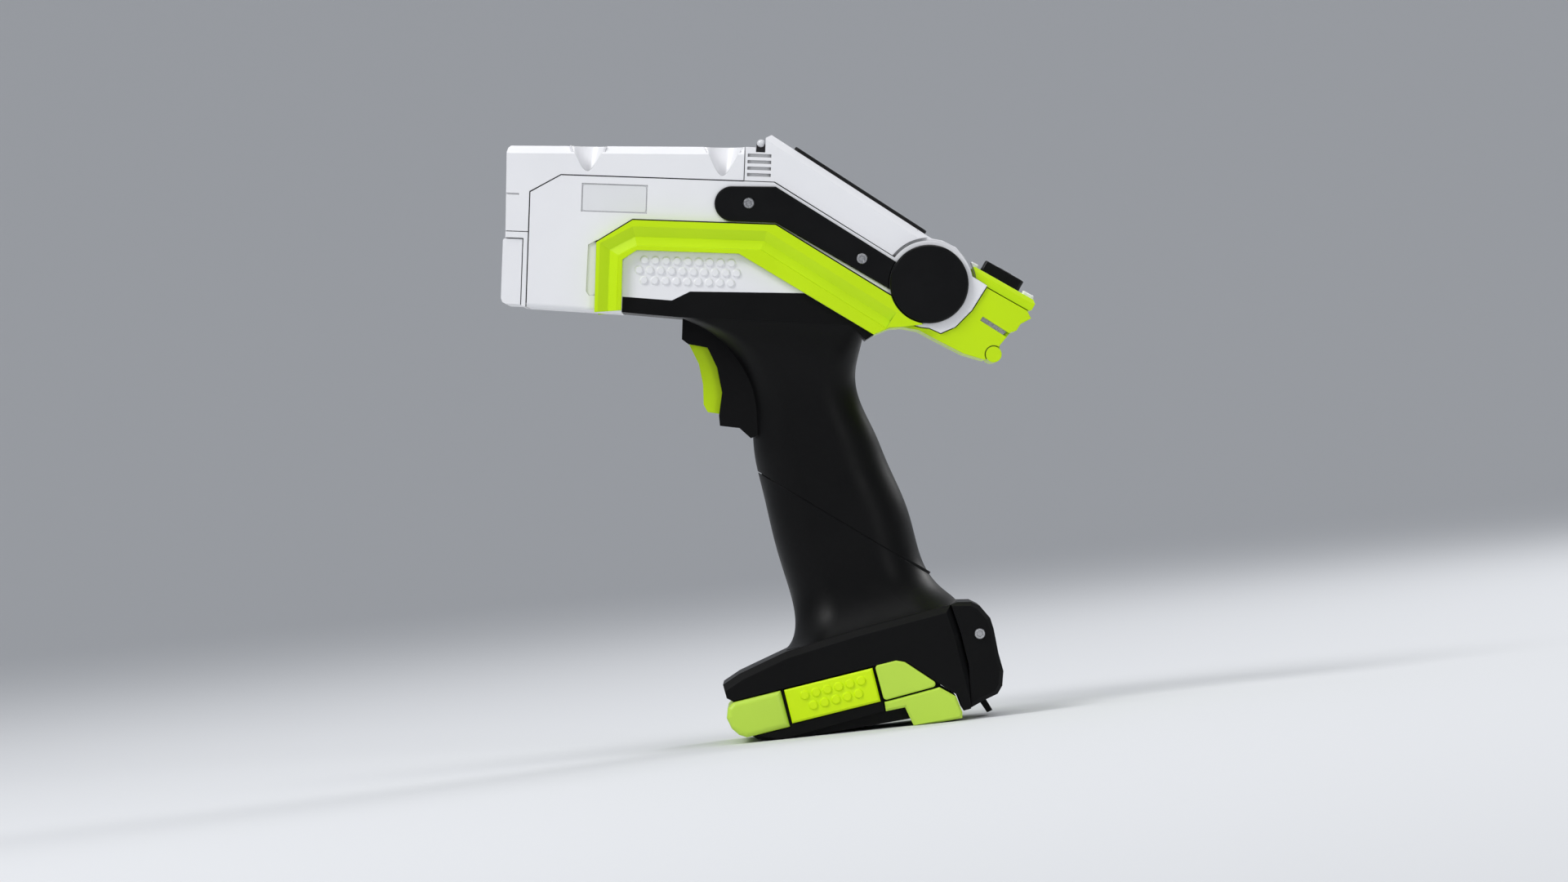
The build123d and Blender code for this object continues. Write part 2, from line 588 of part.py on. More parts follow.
with BuildPart() as tail_housing:
    extrude(outline(LEVEL, tail_outline), amount=tail_half, both=True)
    extrude(outline(LEVEL, tail_hollow), amount=tail_half - wall, both=True, mode=Mode.SUBTRACT)
    extrude(outline(LEVEL, door_opening), amount=door_half + run, both=True, mode=Mode.SUBTRACT)
    for side in (1, -1):
        extrude(disc(LEVEL.offset(side * (tail_half - 0.7)), door_pin, door_barrel_r + 0.4),
                amount=side * 2, mode=Mode.SUBTRACT)
        extrude(disc(LEVEL.offset(side * (door_half + run)), door_pin, door_barrel_r),
                amount=side * (tail_half - 0.1 - door_half - run))
        with BuildSketch(LEVEL.offset(side * (head_half - wall - seam))):
            Circle(ear_r + seam)
            with BuildLine():
                Polyline((0, 0), *[(1.02 * u, 1.02 * v) for u, v in crescent], (-9.0, -14.2),
                         bumper_toe, (-24.0, -12.0), close=True)
            make_face()
        extrude(amount=side * 5, mode=Mode.SUBTRACT)
        extrude(outline(LEVEL.offset(side * (tail_half - wall - 1)), slot_outline(0)),
                amount=side * 2 * wall, mode=Mode.SUBTRACT)
    extrude(disc(LEVEL, door_pin, 1.2 + fit), amount=lug_half - 0.8, both=True, mode=Mode.SUBTRACT)
    extrude(disc(LEVEL, door_pin, door_barrel_r + run), amount=door_half + run, both=True,
            mode=Mode.SUBTRACT)
save(tail_housing.part, "tail_housing")

with BuildPart() as lanyard_bars:
    extrude(outline(LEVEL.offset(tail_half - wall - seam - 1.0), slot_outline(1.2)), amount=1.0)
    extrude(outline(LEVEL, tail_hollow), amount=tail_half, both=True, mode=Mode.INTERSECT)
    mirror(about=Plane.XZ)
save(lanyard_bars.part, "lanyard_bars")

with BuildPart() as tail_door:
    extrude(outline(LEVEL, door_outer + door_inner), amount=door_half, both=True)
    extrude(outline(LEVEL, [(28.4, -22.4), (26.9, -20.9), (23.9, -24.9), (28.3, -25.6)]),
            amount=door_half, both=True)
    extrude(disc(LEVEL, door_pin, door_barrel_r), amount=door_half, both=True)
    extrude(disc(LEVEL, door_pin, 1.2), amount=lug_half - 1.0, both=True)
save(tail_door.part, "tail_door")

block_half = tail_half - wall - 1.0 - 2 * seam
with BuildPart() as connector_block:
    extrude(outline(LEVEL, [bay_rear[0], bay_rear[1], (15.4, -13.5), (22.4, -5.0)]),
            amount=block_half, both=True)
    bay_mid = ((bay_rear[0][0] + bay_rear[1][0]) / 2, (bay_rear[0][1] + bay_rear[1][1]) / 2)
    bay_dir = degrees(atan2(bay_rear[0][0] - bay_rear[1][0], bay_rear[1][1] - bay_rear[0][1]))
    with BuildSketch(axis_plane(LEVEL, bay_mid, bay_dir)):
        with Locations((-10.5, 0), (10.5, 0)):
            RectangleRounded(12.0, 5.0, 0.8)
    extrude(amount=-3.0, mode=Mode.SUBTRACT)
save(connector_block.part, "connector_block")

# ---- keypad ---------------------------------------------------------------------------------------------
key_flange = 0.9
flange_top_t = -2.5
flange_thick = 0.8
keys = {
    "front_key": (-12.4, 3.4, 20.0, 1.7),
    "nav_pad": (-0.9, 17.0, 17.0, 4.9),
    "rear_key": (11.4, 5.0, 20.0, 1.8),
}
centre_key_r = 3.4


def key_face(t, name, grow, wider=0.0):
    """Rounded key rectangle at height t over the keypad face."""
    s, long, wide, _ = keys[name]
    with BuildSketch(KEYPAD.offset(t)) as sketch:
        with Locations((s, 0)):
            RectangleRounded(long + 2 * grow, wide + 2 * (grow + wider), 1.2)
    return sketch.sketch


with BuildPart() as keypad_bezel:
    extrude(outline(LEVEL, slab_outline), amount=keypad_half, both=True)
    face_edges = keypad_bezel.faces().sort_by(Axis(hinge, KEYPAD.z_dir))[-1].edges().sort_by(Axis.Y)
    chamfer([face_edges[0], face_edges[-1]], length=1.5)
    extrude(disc(LEVEL, (0, 0), channel_r), amount=keypad_half, both=True, mode=Mode.SUBTRACT)
    for name in keys:
        extrude(key_face(1, name, run), amount=-20, mode=Mode.SUBTRACT)
        extrude(key_face(flange_top_t + run, name, run, key_flange), amount=-20, mode=Mode.SUBTRACT)
save(keypad_bezel.part, "keypad_bezel")

for name, (s, long, wide, proud) in keys.items():
    with BuildPart() as key:
        extrude(key_face(flange_top_t, name, 0), amount=proud - flange_top_t)
        fillet(key.faces().sort_by(Axis(hinge, KEYPAD.z_dir))[-1].edges(), 0.5)
        extrude(key_face(flange_top_t - flange_thick, name, 0, key_flange), amount=flange_thick)
        if name == "nav_pad":
            with BuildSketch(KEYPAD.offset(flange_top_t - 2)):
                with Locations((s, 0)):
                    Circle(centre_key_r + run)
            extrude(amount=20, mode=Mode.SUBTRACT)
        for lift in (0, key_travel):
            barrel_at = (lift * sin(turn), lift * cos(turn))
            extrude(disc(LEVEL, barrel_at, barrel_r + run), amount=keypad_half, both=True,
                    mode=Mode.SUBTRACT)
    save(key.part, name)

nav_s, _, _, nav_proud = keys["nav_pad"]
with BuildPart() as nav_centre_key:
    with BuildSketch(KEYPAD.offset(flange_top_t - flange_thick)):
        with Locations((nav_s, 0)):
            Circle(centre_key_r)
    extrude(amount=nav_proud + 0.3 - flange_top_t + flange_thick)
    fillet(nav_centre_key.faces().sort_by(Axis(hinge, KEYPAD.z_dir))[-1].edges(), 0.5)
save(nav_centre_key.part, "nav_centre_key")

board_thick = 1.6
with BuildPart() as keypad_board:
    with BuildSketch(KEYPAD.offset(under_slab)):
        with Locations((1.2, 0)):
            RectangleRounded(17.0, 2 * (tail_half - wall - seam), 0.6)
    extrude(amount=-board_thick)
save(keypad_board.part, "keypad_board")

# ---- grip -----------------------------------------------------------------------------------------------
# Sections from the shoulder to the base: front point, rear point, half width, corner radius.
level_sections = [
    ((-96.8, -15.6), (-23.6, -15.6), 30.8, 6.0),
    ((-84.4, -21.2), (-25.2, -23.0), 26.4, 9.0),
    ((-75.4, -29.2), (-26.8, -31.0), 21.6, 13.0),
    ((-69.4, -40.0), (-27.0, -38.6), 19.0, 15.0),
    ((-66.9, -52.0), (-24.8, -46.4), 18.2, 15.5),
]
base_sections = [
    ((-82.0, -54.5), (-33.4, -54.5), 18.0, 16.5),
    ((-82.2, -74.6), (-30.0, -74.6), 18.6, 17.5),
    ((-81.9, -92.0), (-28.6, -92.0), 18.6, 17.5),
]
flare_sections = [
    ((-81.2, -108.0), (-27.2, -108.0), 19.6, 17.5),
    ((-82.6, -117.0), (-23.2, -116.0), 22.6, 17.0),
    ((-88.0, -124.4), (-19.0, -122.6), 28.0, 14.0),
]


def grip_loft(plane_sections, shrink, ruled=False):
    """Loft through rounded sections, each pulled in by a margin."""
    faces = []
    for plane, (front, rear, half, corner) in plane_sections:
        with BuildSketch(cross_plane(plane, front, rear)) as section:
            length = hypot(rear[0] - front[0], rear[1] - front[1])
            RectangleRounded(length - 2 * shrink, 2 * (half - shrink), corner - shrink)
        faces.append(section.sketch.face())
    return loft(faces, ruled=ruled)


grip_stack = [(LEVEL, s) for s in level_sections] + [(BASE, s) for s in base_sections + flare_sections]
grip_wall = 2.6
shoulder_outline = [
    shoulder_front, shoulder_step, shoulder_mid, bumper_heel, bumper_toe, (-23.8, -22.4),
    (-30.0, -16.8), (-96.8, -16.2), (panel_floor_left, floor_v - 0.8),
]
trigger_rib = [
    (-95.2, -16.0), (-95.2, -24.4), (-92.6, -26.2), (-85.1, -27.3), (-81.0, -35.1), (-78.8, -44.5),
    (-79.7, -53.6), (-79.2, -57.6), (-71.6, -58.2), (-67.0, -62.0), (-62.0, -60.0), (-60.0, -16.0),
]
rib_half = 10.0
base_outline = [
    (-115.0, -131.2), (-107.9, -128.6), (-101.0, -127.2), (-88.0, -124.6), (-60.0, -123.0),
    (-22.0, -122.4), (-21.0, -133.9), (-21.0, -147.0), (-24.0, -163.3), (-27.0, -163.4), (-27.8, -157.0),
    (-33.0, -151.6), (-44.2, -139.4), (-47.6, base_floor_v), (-112.9, base_floor_v), (-114.8, -136.6),
]

trigger_pocket = [
    (-94.0, -17.2), (-80.7, -17.2), (-80.7, -29.6), (-76.9, -32.4), (-73.2, -42.0), (-71.7, -53.6),
    (-90.0, -53.6), (-98.0, -26.7), (-94.0, -26.7),
]
switch_box = [(-80.7, -29.5), (-74.2, -29.5), (-74.2, -23.5), (-80.7, -23.5)]
switch_tip = [(-81.6, -28.3), (-80.7, -28.3), (-80.7, -26.7), (-81.6, -26.7)]
switch_half = 4.0
pocket_half = trigger_half + 0.5
seam_front = (-82.0, -54.5)
seam_rear = (-27.4, -108.7)
seam_plane = cross_plane(BASE, seam_front, seam_rear)
shoulder_room = [(-116.0, -12.4), (-97.0, -13.0), (-94.0, -15.0), (-94.0, -16.0), (-27.0, -16.0),
                 (-26.0, 0.0), (-116.0, 0.0)]
with BuildPart() as grip_upper:
    add(grip_loft(grip_stack, 0))
    extrude(outline(LEVEL, shoulder_outline), amount=head_half, both=True)
    add(grip_loft(grip_stack, grip_wall), mode=Mode.SUBTRACT)
    extrude(outline(LEVEL, shoulder_room), amount=head_half - wall - seam, both=True,
            mode=Mode.SUBTRACT)
    for side in (1, -1):
        extrude(outline(LEVEL.offset(side * (head_half - wall - seam)), housing_outline),
                amount=side * 6, mode=Mode.SUBTRACT)
    extrude(outline(LEVEL, trigger_rib), amount=rib_half, both=True)
    extrude(outline(LEVEL, trigger_pocket), amount=pocket_half, both=True, mode=Mode.SUBTRACT)
    extrude(outline(LEVEL, switch_box), amount=switch_half, both=True, mode=Mode.SUBTRACT)
    extrude(disc(LEVEL, trigger_pin_at, trigger_pin_r), amount=rib_half - 0.2, both=True,
            mode=Mode.SUBTRACT)
    split(bisect_by=seam_plane.offset(-seam / 2), keep=Keep.BOTTOM)
for label, keep in (("grip_left", Keep.TOP), ("grip_right", Keep.BOTTOM)):
    with BuildPart() as half:
        add(grip_upper.part)
        split(bisect_by=LEVEL, keep=keep)
    save(half.part, label)

with BuildPart() as trigger_pin:
    extrude(disc(LEVEL, trigger_pin_at, trigger_pin_r), amount=rib_half - 0.2, both=True)
save(trigger_pin.part, "trigger_pin")

with BuildPart() as trigger:
    with BuildSketch(LEVEL):
        with BuildLine():
            Polyline((-92.4, -26.2), (-88.3, -33.8), (-86.4, -41.6), (-85.9, -49.5), (-84.2, -52.4),
                     (-78.1, -53.1), (-78.8, -44.5), (-81.0, -35.1), (-83.4, -27.3), (-82.2, -21.0),
                     (-85.6, -18.2), (-91.4, -20.8), close=True)
        make_face()
        with Locations(trigger_pin_at):
            Circle(3.4)
            Circle(trigger_pin_r + fit, mode=Mode.SUBTRACT)
    extrude(amount=trigger_half, both=True)
    with BuildSketch(LEVEL):
        with Locations(trigger_pin_at):
            Circle(4.2)
    extrude(amount=2.4, both=True, mode=Mode.SUBTRACT)
save(trigger.part, "trigger")

with BuildPart() as trigger_spring:
    for i in range(4):
        with BuildSketch(LEVEL.offset(-1.95 + 1.05 * i)):
            with Locations(trigger_pin_at):
                Circle(2.6)
                Circle(trigger_pin_r, mode=Mode.SUBTRACT)
        extrude(amount=0.75)
    with BuildSketch(LEVEL.offset(-1.95)):
        with Locations(trigger_pin_at):
            Circle(2.1)
            Circle(trigger_pin_r, mode=Mode.SUBTRACT)
    extrude(amount=3.9)
save(trigger_spring.part, "trigger_spring")

with BuildPart() as trigger_switch:
    extrude(outline(LEVEL, switch_box), amount=switch_half, both=True)
    extrude(outline(LEVEL, switch_tip), amount=1.5, both=True)
save(trigger_switch.part, "trigger_switch")

# ---- lower grip and base housing ---------------------------------------------------------------------------
rail_neck = 6.0
rail_half = 9.0
rail_neck_top = -135.7
rail_top = -133.6
rail_front = -104.0
rail_rear = -38.0
battery_top = base_floor_v - run
battery_rear = -33.2
cap_half = base_half - 1.5
rear_cap_outline = [
    (-21.8, -122.5), (-19.4, -122.0), (-13.8, -123.3), (-11.1, -125.5), (-8.3, -131.1), (-8.0, -135.4),
    (-8.5, -145.1), (-8.3, -152.3), (-10.1, -157.7), (-12.6, -160.3), (-18.4, -161.5), (-23.8, -163.0),
    (-20.8, -147.0), (-20.8, -133.9),
]
with BuildPart() as lower_grip:
    extrude(outline(BASE, base_outline), amount=base_half, both=True)
    side_edges = [e for e in lower_grip.edges() if abs(abs(e.center().Y) - base_half) < 0.01
                  and BASE.to_local_coords(e.center()).Y > -131.5]
    chamfer(side_edges, length=2.6)
    add(grip_loft(grip_stack, 0))
    add(grip_loft(grip_stack, grip_wall), mode=Mode.SUBTRACT)
    for half, top in ((rail_neck, rail_neck_top), (rail_half, rail_top)):
        low = -150.0 if half == rail_neck else rail_neck_top - run
        slot = [(-125.0, low), (rail_rear + run, low), (rail_rear + run, top + run), (-125.0, top + run)]
        extrude(outline(BASE, slot), amount=half + run, both=True, mode=Mode.SUBTRACT)
    bay = [(-60.0, base_floor_v), (battery_rear + run, base_floor_v), (battery_rear + run, -172.0),
           (-60.0, -172.0)]
    extrude(outline(BASE, bay), amount=battery_half + run, both=True, mode=Mode.SUBTRACT)
    extrude(outline(BASE, rear_cap_outline), amount=base_half + 5, both=True, mode=Mode.SUBTRACT)
    split(bisect_by=seam_plane.offset(seam / 2), keep=Keep.TOP)
save(lower_grip.part, "lower_grip")

rear_cap_screw = (-13.7, -136.0)
lanyard_peg = [(-19.9, -161.9), (-17.4, -161.3), (-15.7, -166.7), (-18.0, -167.1)]
with BuildPart() as rear_cap:
    extrude(outline(BASE, rear_cap_outline), amount=cap_half, both=True)
    chamfer([e for e in rear_cap.edges() if abs(abs(e.center().Y) - cap_half) < 0.01
             and BASE.to_local_coords(e.center()).X > -19.0], length=1.6)
    for side in (1, -1):
        extrude(disc(BASE.offset(side * (cap_half - 8)), rear_cap_screw, screw_shank_r + fit),
                amount=side * 9, mode=Mode.SUBTRACT)
save(rear_cap.part, "rear_cap")

with BuildPart() as rear_pads:
    pad = [(-56.2, base_floor_v), (-47.7, base_floor_v), (-44.5, -139.6), (-33.5, -151.6), (-55.9, -152.1)]
    extrude(outline(BASE.offset(battery_half + 2 * run), pad), amount=battery_side - battery_half - 2 * run)
    fillet(rear_pads.edges().filter_by(Axis.Y), 1.3)
    fillet(rear_pads.faces().sort_by(Axis.Y)[0].edges(), 0.7)
    mirror(about=Plane.XZ)
save(rear_pads.part, "rear_pads")

with BuildPart() as lanyard_loop:
    extrude(outline(BASE, lanyard_peg), amount=7.5, both=True)
    hole = [(-21.0, -163.0), (-14.0, -163.0), (-14.0, -165.4), (-21.0, -165.4)]
    extrude(outline(BASE, hole), amount=5.5, both=True, mode=Mode.SUBTRACT)
save(lanyard_loop.part, "lanyard_loop")

# ---- battery pack: case, bumper, foot, cells, release buttons -------------------------------------------------
case_front = -109.5
case_outline = [
    (case_front, battery_top), (battery_rear, battery_top), (battery_rear, -161.9), (-48.5, -161.4),
    (-98.9, -157.9), (-107.0, -155.0), (case_front, -152.4),
]
tray_outline = [(-107.0, -153.4), (-93.4, -153.4), (-93.4, -152.4), (-56.6, -152.4), (-56.6, -156.1),
                (-98.0, -157.2)]
tray_half = base_half - 0.5
button_front = -92.5
button_rear = -57.3
button_top = battery_top - run
button_low = -152.1
cell_pocket = [(-106.5, -140.9), (-39.5, -140.9), (-39.5, -154.4), (-106.5, -154.4)]
cell_half = battery_half - 2.5
plug_half = 9.0
plug_pocket = [(-37.4, -149.4), (-30.0, -149.4), (-30.0, -143.6), (-37.4, -143.6)]


def rail(half, low, top):
    """Length of the sliding rail, as a prism outline in the BASE plane."""
    return outline(BASE, [(rail_front, low), (rail_rear, low), (rail_rear, top), (rail_front, top)])


with BuildPart() as battery_case:
    extrude(outline(BASE, case_outline), amount=battery_half, both=True)
    extrude(outline(BASE, tray_outline), amount=tray_half, both=True)
    for front, rear in ((-93.4, button_front - run), (button_rear + run, -56.6)):
        rib = [(front, battery_top), (rear, battery_top), (rear, -153.0), (front, -153.0)]
        extrude(outline(BASE, rib), amount=tray_half, both=True)
    extrude(rail(rail_neck, battery_top, rail_neck_top), amount=rail_neck, both=True)
    extrude(rail(rail_half, rail_neck_top, rail_top), amount=rail_half, both=True)
    extrude(outline(BASE, cell_pocket), amount=cell_half, both=True, mode=Mode.SUBTRACT)
    extrude(outline(BASE, plug_pocket), amount=plug_half, both=True, mode=Mode.SUBTRACT)
    split(bisect_by=TABLE, keep=Keep.TOP)
save(battery_case.part, "battery_case")

bumper_nose = [(-93.8, battery_top), (-112.8, battery_top), (-115.4, -140.4), (-116.7, -144.1),
               (-115.8, -148.4), (-113.6, -151.5), (-110.8, -153.2), (-93.6, -153.2)]
with BuildPart() as battery_bumper:
    extrude(outline(BASE, bumper_nose), amount=battery_side, both=True)
    for index in (0, -1):
        fillet(battery_bumper.faces().sort_by(Axis.Y)[index].edges(), 2.2)
    extrude(outline(BASE, case_outline), amount=battery_half, both=True, mode=Mode.SUBTRACT)
save(battery_bumper.part, "battery_bumper")

foot_outline = [(-55.9, -152.7), (-33.9, -152.3), (-28.5, -157.3), (-27.6, -163.8), (-28.2, -166.0),
                (-47.0, -165.0), (-48.7, -156.6), (-56.2, -156.3)]
with BuildPart() as battery_foot:
    extrude(outline(BASE, foot_outline), amount=battery_side, both=True)
    for index in (0, -1):
        chamfer(battery_foot.faces().sort_by(Axis.Y)[index].edges(), length=0.8)
    extrude(outline(BASE, case_outline), amount=battery_half, both=True, mode=Mode.SUBTRACT)
    split(bisect_by=TABLE, keep=Keep.TOP)
save(battery_foot.part, "battery_foot")

button_inner = battery_half + button_travel + run
button_pips = ((-142.6, -85.2, -62.7), (-147.2, -82.9, -64.9))
button_pip_pitch = 4.5
button_pip_r = 1.9
button_outline = [(button_front, button_top), (button_rear, button_top), (button_rear, button_low),
                  (button_front, button_low)]
with BuildPart() as left_release_button:
    extrude(outline(BASE.offset(button_inner), button_outline), amount=battery_side - button_inner)
    chamfer(left_release_button.faces().sort_by(Axis.Y)[0].edges(), length=0.7)
    extrude(pip_field(BASE.offset(battery_side), button_pips, button_pip_pitch, button_pip_r),
            amount=0.6, taper=35)
save(left_release_button.part, "left_release_button")

with BuildPart() as right_release_button:
    mirror(left_release_button.part, about=Plane.XZ)
save(right_release_button.part, "right_release_button")

cell_long = 21.8
with BuildPart() as battery_cells:
    for i in range(3):
        u = -106.2 + i * (cell_long + 0.4)
        cell = [(u, -154.3), (u + cell_long, -154.3), (u + cell_long, -143.8), (u, -143.8)]
        extrude(outline(BASE, cell), amount=cell_half - 0.2, both=True)
save(battery_cells.part, "battery_cells")

with BuildPart() as battery_board:
    plate = [(-104.0, -143.6), (-41.0, -143.6), (-41.0, -142.2), (-104.0, -142.2)]
    extrude(outline(BASE, plate), amount=20, both=True)
save(battery_board.part, "battery_board")

with BuildPart() as dock_contacts:
    blade = [(-36.8, -148.6), (battery_rear + run, -148.6), (battery_rear + run, -144.4), (-36.8, -144.4)]
    for i in range(5):
        extrude(outline(BASE.offset(-6.8 + 3.2 * i), blade), amount=0.8)
save(dock_contacts.part, "dock_contacts")

# ---- inner parts of the head ------------------------------------------------------------------------------------
deck_v = -2.5
chassis_half = head_half - wall - 2 * seam
tube_start = (-145.0, 21.0)
tube_angle = 22.0
tube_r = 8.5
tube_long = 40.0
detector_r = 6.5
motor_y = 13.6
motor_v = 24.0
with BuildPart() as chassis:
    extrude(outline(LEVEL, [(-152.0, deck_v - 2), (-62.0, deck_v - 2), (-62.0, deck_v), (-152.0, deck_v)]),
            amount=chassis_half, both=True)
    extrude(outline(LEVEL, [(-152.0, floor_v + wall + 0.1), (-148.5, floor_v + wall), (-148.5, deck_v),
                            (-152.0, deck_v)]), amount=chassis_half, both=True)
    extrude(outline(LEVEL, [(-153.0, -16.0), (-145.0, -16.0), (-145.0, deck_v - 2), (-153.0, deck_v - 2)]),
            amount=7.0, both=True, mode=Mode.SUBTRACT)
    extrude(outline(LEVEL, [(-122.0, deck_v), (-119.0, deck_v), (-119.0, 42.0), (-122.0, 42.0)]),
            amount=20, both=True)
    extrude(outline(LEVEL.offset(-22), [(-136.8, deck_v), (-134.8, deck_v), (-134.8, 31.0), (-136.8, 31.0)]),
            amount=22 - 9.4)
    with BuildSketch(axis_plane(LEVEL, tube_start, tube_angle)):
        Circle(tube_r + fit)
    extrude(amount=tube_long, mode=Mode.SUBTRACT)
    with BuildSketch(axis_plane(LEVEL, (-151.0, deck_v + detector_r + 0.1), 0)):
        Circle(detector_r + fit)
    extrude(amount=40, mode=Mode.SUBTRACT)
save(chassis.part, "chassis")

with BuildPart() as xray_tube:
    with BuildSketch(axis_plane(LEVEL, tube_start, tube_angle)):
        Circle(tube_r)
    extrude(amount=tube_long)
    chamfer(xray_tube.edges(), length=1.5)
save(xray_tube.part, "xray_tube")

with BuildPart() as detector:
    detector_plane = axis_plane(LEVEL, (-151.0, deck_v + detector_r + 0.1), 0)
    with BuildSketch(detector_plane):
        Circle(detector_r)
    extrude(amount=38)
    with BuildSketch(detector_plane):
        Circle(4.0)
    extrude(amount=-3.5)
save(detector.part, "detector")

with BuildPart() as filter_motor:
    motor_plane = axis_plane(LEVEL, (-149.2, motor_v), 0)
    with BuildSketch(motor_plane):
        with Locations((-motor_y, 0)):
            Circle(4.5)
    extrude(amount=12.2)
    with BuildSketch(motor_plane):
        with Locations((-motor_y, 0)):
            Circle(1.0)
    extrude(amount=-2.6)
save(filter_motor.part, "filter_motor")

with BuildPart() as filter_wheel:
    with BuildSketch(axis_plane(LEVEL, (-151.4, motor_v), 0)):
        with Locations((-motor_y, 0)):
            Circle(13.2)
            Circle(1.0 + fit, mode=Mode.SUBTRACT)
            with PolarLocations(8.8, 6):
                Circle(2.6, mode=Mode.SUBTRACT)
    extrude(amount=1.5)
save(filter_wheel.part, "filter_wheel")

with BuildPart() as camera_module:
    extrude(outline(LEVEL.offset(10), [(-151.0, deck_v + 0.1), (-139.0, deck_v + 0.1), (-139.0, 8.0),
                                       (-151.0, 8.0)]), amount=12)
    with BuildSketch(axis_plane(LEVEL, (-151.0, 3.0), 0)):
        with Locations((16, 0)):
            Circle(3.0)
    extrude(amount=-2.5)
save(camera_module.part, "camera_module")

supply_top = 18.0
with BuildPart() as hv_supply:
    extrude(outline(LEVEL, [(-111.0, deck_v + 0.1), (-84.0, deck_v + 0.1), (-84.0, supply_top),
                            (-111.0, supply_top)]), amount=24, both=True)
    chamfer(hv_supply.edges().filter_by(Axis.Y), length=1.5)
save(hv_supply.part, "hv_supply")

with BuildPart() as main_board:
    extrude(outline(LEVEL, [(-112.0, supply_top + 0.1), (-66.0, supply_top + 0.1),
                            (-66.0, supply_top + 1.7), (-112.0, supply_top + 1.7)]), amount=26, both=True)
    for u, half in ((-76.0, 9.0), (-92.0, 6.0)):
        extrude(outline(LEVEL, [(u - half, supply_top + 1.7), (u + half, supply_top + 1.7),
                                (u + half, supply_top + 4.0), (u - half, supply_top + 4.0)]),
                amount=half, both=True)
save(main_board.part, "main_board")

# ---- case screws ----------------------------------------------------------------------------------------------------


def seat_plane(plane, point, out, normal):
    """Plane of a screw seat at a point of a side plane, out from the middle."""
    return Plane(origin=plane.from_local_coords((point[0], point[1], out)), z_dir=normal)


up = LEVEL.y_dir
with BuildPart() as case_screws:
    for side in (1, -1):
        for u in screw_well_u:
            socket_screw(seat_plane(LEVEL, (u, well_bottom_v), side * well_y, up), 3.4)
        for point in trim_screws:
            seat = seat_plane(LEVEL, point, side * (head_half + trim_thick), LEVEL.z_dir * side)
            socket_screw(seat, 4.5)
        seat = seat_plane(BASE, rear_cap_screw, side * cap_half, BASE.z_dir * side)
        socket_screw(seat, 7.5)
save(case_screws.part, "case_screws")
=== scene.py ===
import json
import math

import bmesh
import bpy
from mathutils import Euler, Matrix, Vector
from mathutils.geometry import convex_hull_2d


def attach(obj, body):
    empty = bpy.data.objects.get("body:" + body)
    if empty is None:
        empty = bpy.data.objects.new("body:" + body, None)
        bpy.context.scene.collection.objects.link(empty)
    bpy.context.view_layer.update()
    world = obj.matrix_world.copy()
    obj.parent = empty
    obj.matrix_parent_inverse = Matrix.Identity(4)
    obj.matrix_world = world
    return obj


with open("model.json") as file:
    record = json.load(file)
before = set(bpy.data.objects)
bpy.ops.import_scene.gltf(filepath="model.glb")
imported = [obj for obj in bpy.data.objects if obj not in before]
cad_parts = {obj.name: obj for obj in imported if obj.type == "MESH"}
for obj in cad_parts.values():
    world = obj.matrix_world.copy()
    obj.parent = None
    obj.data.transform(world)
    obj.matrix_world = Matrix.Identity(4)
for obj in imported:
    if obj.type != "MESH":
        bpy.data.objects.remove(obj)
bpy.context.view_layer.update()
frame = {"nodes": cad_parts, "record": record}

NODES = frame["nodes"]


# ---------------------------------------------------------------- camera
# Lengths are in metres, down to the small pieces.
AIM = Vector((0.0002, 0.0, 0.1148))
DISTANCE = 3.2
FRAME_WIDTH = 0.6126         # width that the view takes in at the object
ROLL = 6.0                   # degrees by which the view leans against the table
SENSOR_WIDTH = 36.0          # in millimetres, as Blender counts it
NEAREST, FARTHEST = 0.05, 30.0

camera_data = bpy.data.cameras.new("camera")
camera_data.sensor_width = SENSOR_WIDTH
camera_data.lens = camera_data.sensor_width * DISTANCE / FRAME_WIDTH
camera_data.clip_start = NEAREST
camera_data.clip_end = FARTHEST
camera = bpy.data.objects.new("camera", camera_data)
bpy.context.scene.collection.objects.link(camera)
camera.location = AIM + Vector((0.0, -DISTANCE, 0.0))
look = (AIM - camera.location).to_track_quat("-Z", "Y").to_matrix()
lean = Euler((0.0, 0.0, math.radians(-ROLL))).to_matrix()
camera.rotation_euler = (look @ lean).to_euler()
bpy.context.scene.camera = camera
bpy.context.scene.view_settings.view_transform = "Standard"


# ---------------------------------------------------------------- materials
NOISE_LOW, NOISE_HIGH = 0.3, 0.7       # nearly all of a noise lies between these
SEAM_REACH = 0.0016          # a seam or crease up to this wide gets painted shade
STEEL_REACH = 0.0011         # the same painted shade for the small steel parts and their sockets
